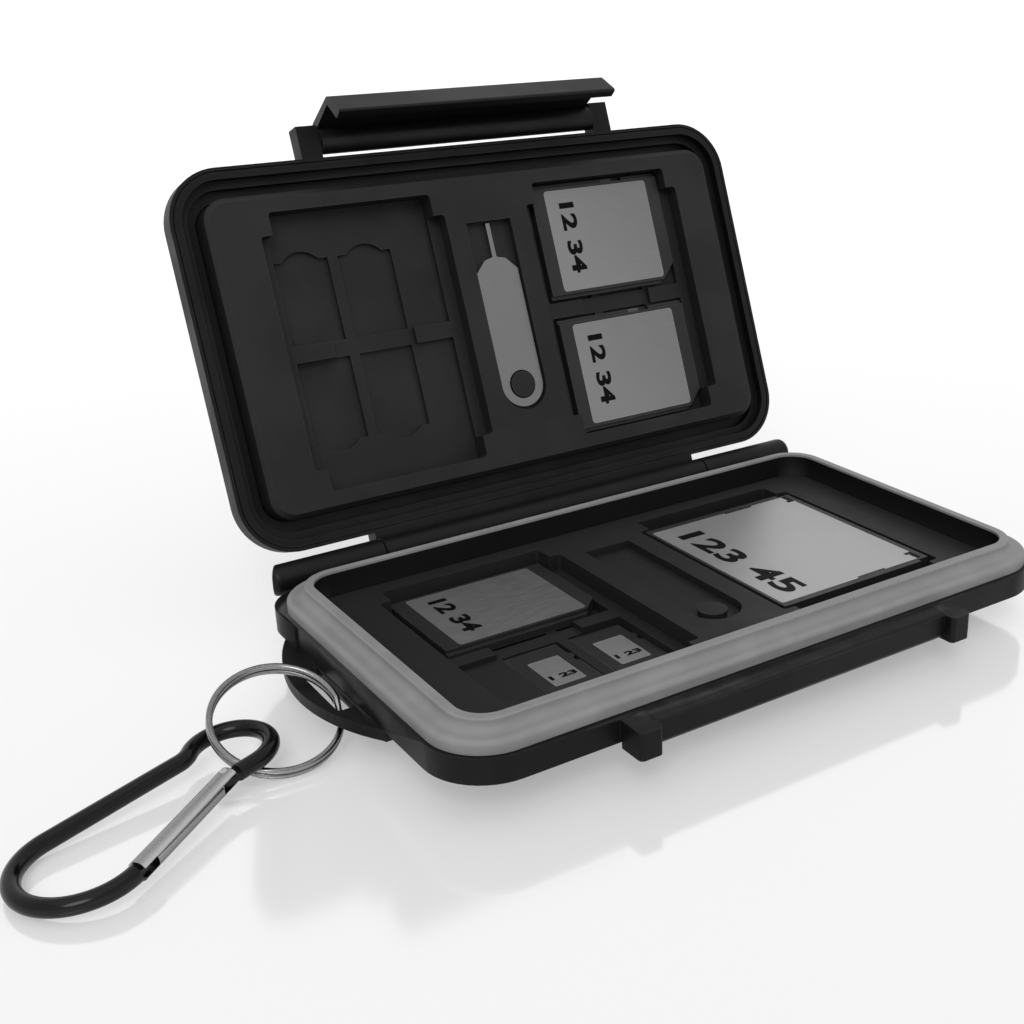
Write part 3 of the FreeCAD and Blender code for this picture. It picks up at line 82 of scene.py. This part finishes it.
class Finish:
    """A material whose node tree is written as expressions."""

    def __init__(self, name, **constants):
        self.material = bpy.data.materials.new(name)
        self.material.use_nodes = True
        self.tree = self.material.node_tree
        self.shader = next(n for n in self.tree.nodes if n.type == "BSDF_PRINCIPLED")
        self.set(**constants)

    def node(self, kind, settings=None, inputs=None, output=0):
        made = self.tree.nodes.new(kind)
        for key, value in (settings or {}).items():
            setattr(made, key, value)
        for key, value in (inputs or {}).items():
            self.feed(made.inputs[key], value)
        return Wire(self, made.outputs[output])

    def feed(self, socket, value):
        if isinstance(value, Wire):
            self.tree.links.new(value.socket, socket)
        else:
            socket.default_value = value

    def set(self, **values):
        for key, value in values.items():
            self.feed(self.shader.inputs[key.replace("_", " ")], value)

    def place(self, centre=(0, 0, 0), turn=(0, 0, 0), stretch=(1, 1, 1)):
        at = self.node("ShaderNodeTexCoord", output="Object")
        return self.node("ShaderNodeMapping", {"vector_type": "TEXTURE"},
                         {"Vector": at, "Location": [v * MM for v in centre],
                          "Rotation": turn, "Scale": stretch})

    def noise(self, size, detail=3.0, at=None, twist=0.0):
        return self.node("ShaderNodeTexNoise", {},
                         {"Vector": at or self.place(), "Scale": 1 / (size * MM), "Detail": detail,
                          "Roughness": 0.55, "Distortion": twist})

    def cells(self, size):
        return self.node("ShaderNodeTexVoronoi", {"feature": "SMOOTH_F1"},
                         {"Vector": self.place(), "Scale": 1 / (size * MM)}, "Distance")

    def ramp(self, value, start, end, low=0.0, high=1.0):
        return self.node("ShaderNodeMapRange", {"interpolation_type": "SMOOTHSTEP"},
                         {"Value": value, "From Min": start, "From Max": end,
                          "To Min": low, "To Max": high})

    def axis(self, vector, name):
        return self.node("ShaderNodeSeparateXYZ", {}, {"Vector": vector}, name)

    def mix(self, amount, first, second):
        return self.node("ShaderNodeMix", {"data_type": "RGBA"}, {0: amount, 6: first, 7: second}, 2)

    def edges(self, radius):
        soft = self.node("ShaderNodeBevel", {"samples": 6}, {"Radius": radius * MM})
        hard = self.node("ShaderNodeNewGeometry", output="True Normal")
        near = self.node("ShaderNodeVectorMath", {"operation": "DOT_PRODUCT"}, {0: soft, 1: hard}, "Value")
        return self.ramp(near, 0.995, 0.86)

    def bump(self, height, strength, distance):
        return self.node("ShaderNodeBump", {},
                         {"Height": height, "Strength": strength, "Distance": distance * MM})


def grey(level, warm=0.0):
    return (level * (1 + warm), level, level * (1 - warm), 1.0)


def moulded(name, dark, light, worn, rough, grain, depth, gloss):
    """Black moulded plastic: eroded grain, hand marks and paler rubbed edges."""
    made = Finish(name, Specular_IOR_Level=gloss)
    patch = made.ramp(made.noise(size=17.0, detail=4.0), 0.35, 0.68)
    fine = made.noise(size=grain, detail=2.0)
    rub = made.edges(0.45) * made.ramp(made.noise(size=5.0, detail=4.0), 0.38, 0.7, low=0.25)
    tone = made.mix(patch, grey(dark), grey(light, warm=0.01))
    tone = made.mix(made.ramp(fine, 0.62, 0.78, high=0.35), tone, grey(light * 1.5))
    made.set(Base_Color=made.mix(rub, tone, grey(worn)))
    made.set(Roughness=made.ramp(patch, 0.0, 1.0, rough, rough - 0.1) + fine * 0.08 - rub * 0.08)
    pits = made.cells(grain * 2.2) * 0.6 + fine * 0.4
    made.set(Normal=made.bump(pits, strength=0.35, distance=depth))
    return made.material


def rubber(name):
    """Grey seal: faint bloom, fine mould grain and paler rubbed edges."""
    made = Finish(name, Specular_IOR_Level=0.25)
    bloom = made.ramp(made.noise(size=9.0, detail=5.0, twist=0.6), 0.36, 0.7)
    fine = made.noise(size=0.32)
    tone = made.mix(bloom, grey(0.225), grey(0.258, warm=0.005))
    tone = made.mix(made.ramp(fine, 0.58, 0.76, high=0.25), tone, grey(0.295))
    rub = made.edges(0.5)
    made.set(Base_Color=made.mix(rub * 0.5, tone, grey(0.285)))
    made.set(Roughness=made.ramp(bloom, 0.0, 1.0, 0.52, 0.66))
    made.set(Normal=made.bump(fine, strength=0.2, distance=0.03))
    return made.material


def foil(name, centre, tilt, dark, light, metal):
    """Printed satin foil of a card label, with a painted sheen from corner to corner."""
    made = Finish(name, Specular_IOR_Level=0.4, Metallic=metal)
    turn = (tilt, 0, 0)
    at = made.place(centre, turn)
    slope = made.axis(at, "X") * 30.0 + made.axis(at, "Y") * 22.0
    # Painted sheen: the colour goes from light at one corner to dark at the opposite one
    painted_sheen = made.ramp(slope, -0.62, 0.62)
    fibre = made.noise(size=0.5, detail=4.0, at=made.place(centre, turn, stretch=(9, 1, 1)))
    speck = made.noise(size=0.16, detail=2.0)
    tone = made.mix(painted_sheen, grey(light), grey(dark))
    tone = made.mix(made.ramp(fibre, 0.4, 0.7, high=0.16), tone, grey(light * 1.25))
    tone = made.mix(made.edges(0.2), tone, grey(light * 1.5))
    made.set(Base_Color=tone)
    made.set(Roughness=made.ramp(fibre, 0.3, 0.7, 0.34, 0.48))
    made.set(Normal=made.bump(fibre * 0.7 + speck * 0.3, strength=0.12, distance=0.02))
    return made.material


def brushed(name, level, rough, along, scratch=0.12, tilt=0.0, metal=1.0):
    """Bare metal with fine parallel lines, a few crossing scratches and rubbed edges."""
    made = Finish(name, Metallic=metal)
    lines = made.noise(size=0.16, at=made.place(turn=(tilt, 0, 0), stretch=along))
    haze = made.ramp(made.noise(size=11.0, detail=4.0), 0.35, 0.7)
    crossing = made.place(turn=(tilt, 0, 0.6), stretch=(14, 1, 1))
    marks = made.ramp(made.noise(size=1.6, detail=2.0, at=crossing), 0.66, 0.74)
    tone = made.mix(made.ramp(lines, 0.3, 0.7), grey(level * 0.97), grey(level * 1.03))
    tone = made.mix(marks * scratch, tone, grey(level * 1.35))
    made.set(Base_Color=made.mix(made.edges(0.15), tone, grey(level * 1.3)))
    made.set(Roughness=made.ramp(lines, 0.3, 0.7, rough - 0.02, rough + 0.03) + haze * 0.04)
    made.set(Normal=made.bump(lines, strength=0.03, distance=0.008))
    return made.material


def height_over(made, centre, turn):
    """Height above the middle plane of a piece that lies in one plane."""
    return made.axis(made.place(centre, turn), "Z") * (1 / MM)


def polished(name, centre, turn, painted_streaks):
    """Bright polished metal wire or tube, with painted highlights and painted shade in bands across it by
    height.
    """
    made = Finish(name, Metallic=1.0)
    height = height_over(made, centre, turn)
    # Painted highlights and painted shade: each streak lightens or darkens the colour between two heights
    painted_light_and_shade = 0.0
    for start, end, amount in painted_streaks:
        painted_light_and_shade = painted_light_and_shade + made.ramp(height, start, end) * amount
    lines = made.noise(size=0.3, detail=2.0, at=made.place(centre, turn, stretch=(1, 1, 0.3)))
    haze = made.ramp(made.noise(size=7.0), 0.35, 0.7)
    tone = made.mix(painted_light_and_shade, grey(0.075), grey(0.5))
    made.set(Base_Color=made.mix(made.ramp(lines, 0.45, 0.7, high=0.14), tone, grey(0.6)))
    made.set(Roughness=0.2 + haze * 0.08)
    made.set(Normal=made.bump(lines, strength=0.02, distance=0.004))
    return made.material


def anodised(name, centre, turn):
    """Black dyed rod: deep skin, a greyer painted sheen band along its sides and small chips."""
    made = Finish(name, Specular_IOR_Level=0.14, Coat_Roughness=0.1)
    height = height_over(made, centre, turn)
    # Painted sheen: a greyer band along the rod's sides, by height over its middle plane
    side = made.ramp(height, -0.9, 0.0) - made.ramp(height, 0.15, 0.9)
    haze = made.ramp(made.noise(size=6.0, detail=4.0), 0.4, 0.7)
    fine = made.noise(size=0.12, detail=2.0)
    chip = made.ramp(made.noise(size=0.7, detail=4.0), 0.7, 0.76) * made.edges(0.3)
    tone = made.mix(side * 0.7 + haze * 0.2, grey(0.0012), grey(0.016))
    made.set(Base_Color=made.mix(chip, tone, grey(0.35)))
    made.set(Coat_Weight=0.12 - haze * 0.08)
    made.set(Roughness=made.ramp(haze, 0.0, 1.0, 0.2, 0.32))
    made.set(Normal=made.bump(fine, strength=0.06, distance=0.01))
    return made.material


def gilt(name):
    """Plated contacts: thin gold with wipe marks and dull ends."""
    made = Finish(name, Metallic=1.0)
    wipe = made.noise(size=0.3, at=made.place(stretch=(12, 1, 1)))
    dull = made.ramp(made.noise(size=2.2), 0.4, 0.7)
    tone = made.mix(dull, (0.83, 0.56, 0.2, 1), (0.62, 0.4, 0.15, 1))
    made.set(Base_Color=made.mix(made.ramp(wipe, 0.6, 0.75, high=0.5), tone, (0.92, 0.72, 0.38, 1)))
    made.set(Roughness=made.ramp(dull, 0.0, 1.0, 0.22, 0.4))
    made.set(Normal=made.bump(wipe, strength=0.1, distance=0.01))
    return made.material


def ink(name):
    """Screen print: slightly uneven and less glossy than the foil under it."""
    made = Finish(name, Specular_IOR_Level=0.06)
    thin = made.ramp(made.noise(size=0.25), 0.55, 0.8)
    made.set(Base_Color=made.mix(thin, grey(0.002), grey(0.007)))
    made.set(Roughness=made.ramp(thin, 0.0, 1.0, 0.5, 0.65))
    made.set(Normal=made.bump(thin, strength=0.08, distance=0.01))
    return made.material


def dress(finish, *names):
    for name in names:
        shown = nodes[name]
        shown.data.materials.clear()
        shown.data.materials.append(finish)


# Finishes of the case
shell_plastic = moulded("shell_plastic", dark=0.0034, light=0.0056, worn=0.018,
                        rough=0.46, grain=0.22, depth=0.03, gloss=0.15)
latch_plastic = moulded("latch_plastic", dark=0.0042, light=0.0068, worn=0.02,
                        rough=0.44, grain=0.2, depth=0.025, gloss=0.2)
tray_plastic = moulded("tray_plastic", dark=0.008, light=0.0114, worn=0.022,
                       rough=0.58, grain=0.3, depth=0.035, gloss=0.24)
tool_steel = brushed("tool_steel", level=0.175, rough=0.42, along=(1, 26, 1), scratch=0.1, tilt=LID_TILT)
dress(shell_plastic, "base_shell", "lid_shell")
dress(latch_plastic, "latch")
dress(tray_plastic, "base_tray", "lid_tray")
dress(rubber("seal_rubber"), "seal_ring")
dress(brushed("pin_steel", level=0.5, rough=0.28, along=(30, 1, 1)), "hinge_pin", "latch_pin")
dress(tool_steel, "sim_tool")

# Finishes of the cards
CARDS = ["sd_a", "sd_b", "sd_c", "micro_a", "micro_b"]
card_plastic = moulded("card_plastic", dark=0.011, light=0.016, worn=0.04,
                       rough=0.5, grain=0.14, depth=0.02, gloss=0.3)
switch_plastic = moulded("switch_plastic", dark=0.06, light=0.085, worn=0.14,
                         rough=0.45, grain=0.12, depth=0.015, gloss=0.35)
socket_plastic = moulded("socket_plastic", dark=0.018, light=0.026, worn=0.05,
                         rough=0.5, grain=0.12, depth=0.015, gloss=0.3)
plate_steel = brushed("plate_steel", level=0.37, rough=0.34, along=(1, 34, 1), scratch=0.1, metal=0.6)
dress(card_plastic, *[card + "_body" for card in CARDS], "cf_frame")
dress(switch_plastic, "sd_a_switch", "sd_b_switch", "sd_c_switch")
dress(socket_plastic, "cf_socket")
dress(gilt("contact_gold"), *[card + "_contacts" for card in CARDS])
dress(plate_steel, "cf_top_plate", "cf_bottom_plate")

# Middle of each card's face
COLUMN = 28.5
SD_ROW = 14.2
SD_FACE = 8.8
MICRO_ROW = -9.65
MICRO_FACE = 6.55
CF_FACE = 11.1
SD_TOPS = {"sd_a": LID_PLACE @ (Vector((COLUMN, SD_ROW, 0)) * MM),
           "sd_b": LID_PLACE @ (Vector((COLUMN, -SD_ROW, 0)) * MM),
           "sd_c": Vector((-COLUMN, SD_ROW, SD_FACE)) * MM}
MICRO_TOPS = {"micro_a": Vector((-30.75, MICRO_ROW, MICRO_FACE)) * MM,
              "micro_b": Vector((-17.45, MICRO_ROW, MICRO_FACE)) * MM}
CF_TOP = Vector((COLUMN, 0, CF_FACE)) * MM
for card, top in SD_TOPS.items():
    tilt = LID_TILT if card != "sd_c" else 0.0
    dress(foil(card + "_foil", top / MM, tilt, dark=0.17, light=0.215, metal=0.55), card + "_label")
for card, top in MICRO_TOPS.items():
    dress(foil(card + "_foil", top / MM, tilt=0.0, dark=0.225, light=0.29, metal=0.55), card + "_label")

# Finishes of the hanging parts: a painted streak is a painted highlight (a rise) or painted shade (a fall)
# in brightness between two heights
RING_CENTRE = (-75.08, 3.25, 5.72)
RING_TURN = (math.radians(26.2), 0, math.radians(-3.1))
HOOK_CENTRE = (-99.74, -5.33, 3.02)
HOOK_TURN = (-0.0211, -0.0857, 0)
RING_PAINTED_STREAKS = [(0.1, 0.75, 0.6), (0.85, 1.13, -0.35), (-1.05, -0.5, 0.5), (-0.4, -0.05, -0.6)]
GATE_PAINTED_STREAKS = [(-0.9, 0.8, 0.9), (1.0, 1.6, -0.5)]
spring_steel = brushed("spring_steel", level=0.45, rough=0.3, along=(6, 6, 6))
dress(polished("ring_steel", RING_CENTRE, RING_TURN, RING_PAINTED_STREAKS), "key_ring")
dress(anodised("hook_black", HOOK_CENTRE, HOOK_TURN), "carabiner_body")
dress(polished("gate_metal", HOOK_CENTRE, HOOK_TURN, GATE_PAINTED_STREAKS), "carabiner_gate")
dress(spring_steel, "gate_rivet", "gate_plunger", "gate_spring")


def add_object(name, data):
    shown = bpy.data.objects.new(name, data)
    bpy.context.scene.collection.objects.link(shown)
    return shown


def evaluated_mesh(shown):
    """Plain mesh of a text object or of a mesh with its modifiers."""
    bpy.context.view_layer.update()
    graph = bpy.context.evaluated_depsgraph_get()
    return bpy.data.meshes.new_from_object(shown.evaluated_get(graph))


def mend(mesh, merge=0.0, turn_out=False):
    """Merge points that are closer than a distance in metres, and turn the faces outwards."""
    work = bmesh.new()
    work.from_mesh(mesh)
    if merge:
        bmesh.ops.remove_doubles(work, verts=work.verts, dist=merge)
    if turn_out:
        bmesh.ops.recalc_face_normals(work, faces=work.faces)
    work.to_mesh(mesh)
    work.free()


# Print on the cards
TYPE_DEPTH = 0.002
INK_HALF = 0.012
INK_LIFT = Vector((0, 0, INK_HALF)) * MM
card_ink = ink("card_ink")


def print_digits(name, place, body, digits, height, length, weight):
    """Raised screen-printed digits, set out in the card's own plane."""
    curve = bpy.data.curves.new(name, "FONT")
    curve.body = digits
    curve.size = 1.0
    curve.offset = weight
    curve.extrude = TYPE_DEPTH
    curve.resolution_u = 4
    holder = add_object(name + "_type", curve)
    mesh = evaluated_mesh(holder)
    bpy.data.objects.remove(holder)
    xs = [v.co.x for v in mesh.vertices]
    ys = [v.co.y for v in mesh.vertices]
    wide = length * MM / (max(xs) - min(xs))
    tall = height * MM / (max(ys) - min(ys))
    thick = INK_HALF * MM / TYPE_DEPTH
    fit = Matrix.Diagonal((wide, tall, thick, 1.0)) @ Matrix.Translation((-min(xs), -min(ys), 0))
    mesh.transform(place @ fit)
    mend(mesh, merge=1e-7, turn_out=True)
    mesh.materials.clear()
    mesh.materials.append(card_ink)
    shown = add_object(name, mesh)
    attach(shown, body)


READS_TO_FRONT = Matrix.Rotation(-math.pi / 2, 4, "Z")
SD_START = Vector((-9.9, 7.9, 0)) * MM
MICRO_START = Vector((-2.55, -3.55, 0)) * MM
CF_START = Vector((-14.7, 15.6, 0)) * MM
for card, top in SD_TOPS.items():
    turn = LID_TURN if card != "sd_c" else Matrix.Identity(4)
    place = Matrix.Translation(top) @ turn @ Matrix.Translation(SD_START + INK_LIFT) @ READS_TO_FRONT
    print_digits(card + "_digits", place, card, "12 34", height=3.7, length=15.0, weight=0.036)
for card, top in MICRO_TOPS.items():
    place = Matrix.Translation(top + MICRO_START + INK_LIFT)
    print_digits(card + "_digits", place, card, "1 23", height=1.5, length=5.2, weight=0.05)
place = Matrix.Translation(CF_TOP + CF_START + INK_LIFT) @ READS_TO_FRONT
print_digits("cf_digits", place, "cf", "123 45", height=5.7, length=33.0, weight=0.03)


def rounded_outline(left, right, front, back, radius, height):
    """Corner-rounded rectangle as points, anticlockwise."""
    steps = 12
    points = []
    centres = [(right - radius, back - radius), (left + radius, back - radius),
               (left + radius, front + radius), (right - radius, front + radius)]
    for quarter, (x, y) in enumerate(centres):
        for step in range(steps + 1):
            angle = math.radians(90.0 * (quarter + step / steps))
            points.append(Vector((x + radius * math.cos(angle), y + radius * math.sin(angle), height)))
    return points


def solid_from(name, loops, capped=True):
    """Closed mesh through outlines with as many points each, capped at its ends or joined into a ring."""
    count = len(loops[0])
    faces = []
    for level in range(len(loops) - 1 if capped else len(loops)):
        low, high = level * count, (level + 1) % len(loops) * count
        for i in range(count):
            after = (i + 1) % count
            faces.append((low + i, low + after, high + after, high + i))
    if capped:
        last = (len(loops) - 1) * count
        faces += [tuple(reversed(range(count))), tuple(range(last, last + count))]
    mesh = bpy.data.meshes.new(name)
    mesh.from_pydata([p * MM for loop in loops for p in loop], [], faces)
    mend(mesh, turn_out=True)
    return add_object(name, mesh)


def copied(name, node):
    """Copy of a CAD shape, its loose triangles merged into one closed skin."""
    mesh = nodes[node].data.copy()
    mend(mesh, merge=1e-6)
    return add_object(name, mesh)


def combine(shown, tool, operation):
    """Cut a tool from a mesh, or join it on, and drop the tool."""
    step = shown.modifiers.new("combine", "BOOLEAN")
    step.operation = operation
    step.solver = "EXACT"
    step.object = tool
    mesh = evaluated_mesh(shown)
    shown.modifiers.clear()
    shown.data = mesh
    bpy.data.objects.remove(tool)


def stand_for(shown, node, body):
    """Shade a reworked shape by its corners and show it in place of its CAD node."""
    for face in shown.data.polygons:
        face.use_smooth = True
    shown.data.set_sharp_from_angle(angle=math.radians(25))
    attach(shown, body)
    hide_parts(node)


# Lower housing: the shell with the lower edge of its wall raised to the hem, except behind the ear,
# and with a shoulder at each hinge corner. Tools reach past the shape that they cut.
PAST = 1.0
HEM = 7.0
WALL = {"left": -63.75, "right": 63.75, "front": -36.85, "back": 36.1, "radius": 11.15}
FOOT = {"left": -52.7, "right": 52.7, "front": -25.8, "back": 29.5, "radius": 4.1}
EAR_ROOT = {"left": -64.5, "right": -55.0, "front": -12.3, "back": 27.9, "radius": 0.5}
EAR_UNDER = 4.9
SHOULDER_LOW = HEM + 0.02
SHOULDER_TALL = Vector((0, 0, 4.36))
SHOULDER_START = 50
SHOULDER_FRONT = 22
SHOULDER_BACK = 37.2
SHOULDER_CORNER = 8.0
LEFT_REACH = 63.9
RIGHT_REACH = 63.4

housing = copied("base_housing", "base_shell")
foot = rounded_outline(**FOOT, height=0.0)
hem = rounded_outline(**WALL, height=HEM)
outside = rounded_outline(**WALL, height=-PAST)
inside = [high + (low - high) * ((HEM + PAST) / HEM) for low, high in zip(foot, hem)]
hem_cut = solid_from("hem_cut", [hem, outside, inside], capped=False)
ear_root = [rounded_outline(**EAR_ROOT, height=height) for height in (EAR_UNDER, HEM + PAST)]
combine(hem_cut, solid_from("ear_root", ear_root), "DIFFERENCE")
combine(housing, hem_cut, "DIFFERENCE")
for side, reach in ((-1, LEFT_REACH), (1, RIGHT_REACH)):
    outline = rounded_outline(-reach, reach, 0.0, SHOULDER_BACK, SHOULDER_CORNER, SHOULDER_LOW)
    corner = [p for p in outline if p.x * side > SHOULDER_START and p.y > SHOULDER_FRONT]
    within = ((SHOULDER_START, SHOULDER_BACK), (SHOULDER_START, 35), (60, 33),
              (62, SHOULDER_FRONT), (reach, SHOULDER_FRONT))
    root = [Vector((x * side, y, SHOULDER_LOW)) for x, y in within]
    plan = corner + (root if side > 0 else root[::-1])
    combine(housing, solid_from("hinge_shoulder", [plan, [p + SHOULDER_TALL for p in plan]]), "UNION")
stand_for(housing, "base_shell", "base")

# Cover of the large card: its plate set back at two corners, with a slot beside each, and a shallow
# notch in each side. Points are a place along the card and a distance in from its side.
SET_BACK = 1.1
SLOT_DEEP = 1.7
SLOT_NEAR = 2.3
SLOT_FAR = 3.2
NOTCH_DEEP = 0.5
NOTCH_SPAN = (0.53, 0.73)

cover = copied("cf_cover", "cf_top_plate")
(left, front, under), (right, back, over) = [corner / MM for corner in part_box("cf_top_plate")]
corner_step = [(right + PAST, SLOT_FAR), (right - SLOT_DEEP, SLOT_FAR), (right - SLOT_DEEP, SLOT_NEAR),
               (right - SET_BACK, SLOT_NEAR), (right - SET_BACK, -PAST), (right + PAST, -PAST)]
notch_start, notch_end = [left + share * (right - left) for share in NOTCH_SPAN]
side_notch = [(notch_start, -PAST), (notch_end, -PAST), (notch_end, NOTCH_DEEP), (notch_start, NOTCH_DEEP)]
for side, edge in ((-1, front), (1, back)):
    for plan in (corner_step, side_notch):
        loops = [[Vector((x, edge - side * inward, height)) for x, inward in plan]
                 for height in (under - PAST, over + PAST)]
        combine(cover, solid_from("cover_notch", loops), "DIFFERENCE")
stand_for(cover, "cf_top_plate", "cf")

# Floor, light and camera, with the camera's pixels counted in the photograph's frame
SEEING_RAYS = ("Is Camera Ray", "Is Glossy Ray", "Is Transmission Ray")
WHITE = (1, 1, 1, 1)
AMBIENT = 0.55
FLOOR_HALF = 6000.0
FLOOR_DROP = 0.1
FRAME_PIXELS = 1024
FOCAL_PIXELS = 1411.7
SHIFT_PIXELS = -120.0
SENSOR_WIDTH = 36.0
CLIP_NEAR = 10.0
CLIP_FAR = 50000.0
CAMERA_PLACE = Vector((-139.9, -192.55, 119.27))
CAMERA_ACROSS = Vector((0.82143, -0.57018, -0.01247))
CAMERA_UPWARD = Vector((0.21997, 0.29657, 0.92933))
CAMERA_BEHIND = Vector((-0.52619, -0.76612, 0.36904))


def studio_world():
    """Soft even light, and plain white wherever a ray sees the surroundings."""
    world = bpy.data.worlds.new("studio_world")
    world.use_nodes = True
    tree = world.node_tree
    tree.nodes.clear()
    path = tree.nodes.new("ShaderNodeLightPath")
    seen = path.outputs[SEEING_RAYS[0]]
    for ray in SEEING_RAYS[1:]:
        either = tree.nodes.new("ShaderNodeMath")
        either.operation = "MAXIMUM"
        tree.links.new(seen, either.inputs[0])
        tree.links.new(path.outputs[ray], either.inputs[1])
        seen = either.outputs[0]
    mix = tree.nodes.new("ShaderNodeMixShader")
    tree.links.new(seen, mix.inputs[0])
    for socket, strength in ((1, AMBIENT), (2, 1.0)):
        light = tree.nodes.new("ShaderNodeBackground")
        light.inputs["Color"].default_value = WHITE
        light.inputs["Strength"].default_value = strength
        tree.links.new(light.outputs[0], mix.inputs[socket])
    out = tree.nodes.new("ShaderNodeOutputWorld")
    tree.links.new(mix.outputs[0], out.inputs[0])
    bpy.context.scene.world = world


def studio_floor():
    """Glossy white floor, a little below the part, that keeps its shadow and mirror image."""
    mesh = bpy.data.meshes.new("studio_floor")
    half = FLOOR_HALF * MM
    corners = [(-half, -half, 0), (half, -half, 0), (half, half, 0), (-half, half, 0)]
    mesh.from_pydata(corners, [], [(0, 1, 2, 3)])
    floor = add_object("studio_floor", mesh)
    floor.location.z = -FLOOR_DROP * MM
    made = Finish("floor_white", Base_Color=grey(0.5), Roughness=0.1, IOR=2.3)
    seen = 0.0
    for ray in SEEING_RAYS:
        seen = seen + made.node("ShaderNodeLightPath", output=ray)
    made.set(Emission_Color=made.mix(seen, grey(0.0), grey(0.36)), Emission_Strength=1.0)
    mesh.materials.append(made.material)


def studio_lamp(name, towards, spread, strength):
    """Even light from one direction, softened by the size of its source."""
    lamp = bpy.data.lights.new(name, "SUN")
    lamp.energy = strength
    lamp.angle = math.radians(spread)
    holder = add_object(name, lamp)
    holder.rotation_euler = Vector(towards).to_track_quat("-Z", "Y").to_euler()


def photo_camera():
    camera = bpy.data.cameras.new("photo_camera")
    camera.sensor_width = SENSOR_WIDTH
    camera.lens = SENSOR_WIDTH * FOCAL_PIXELS / FRAME_PIXELS
    camera.shift_x = SHIFT_PIXELS / FRAME_PIXELS
    camera.clip_start = CLIP_NEAR * MM
    camera.clip_end = CLIP_FAR * MM
    holder = add_object("photo_camera", camera)
    turn = Matrix((CAMERA_ACROSS, CAMERA_UPWARD, CAMERA_BEHIND)).transposed().to_4x4()
    holder.matrix_world = Matrix.Translation(CAMERA_PLACE * MM) @ turn
    bpy.context.scene.camera = holder


studio_world()
studio_floor()
studio_lamp("key_lamp", towards=(0.5, 0.7, -0.8), spread=30, strength=1.25)
studio_lamp("top_lamp", towards=(0.1, 0.1, -1.0), spread=60, strength=0.4)
photo_camera()
bpy.context.scene.view_settings.view_transform = "Standard"
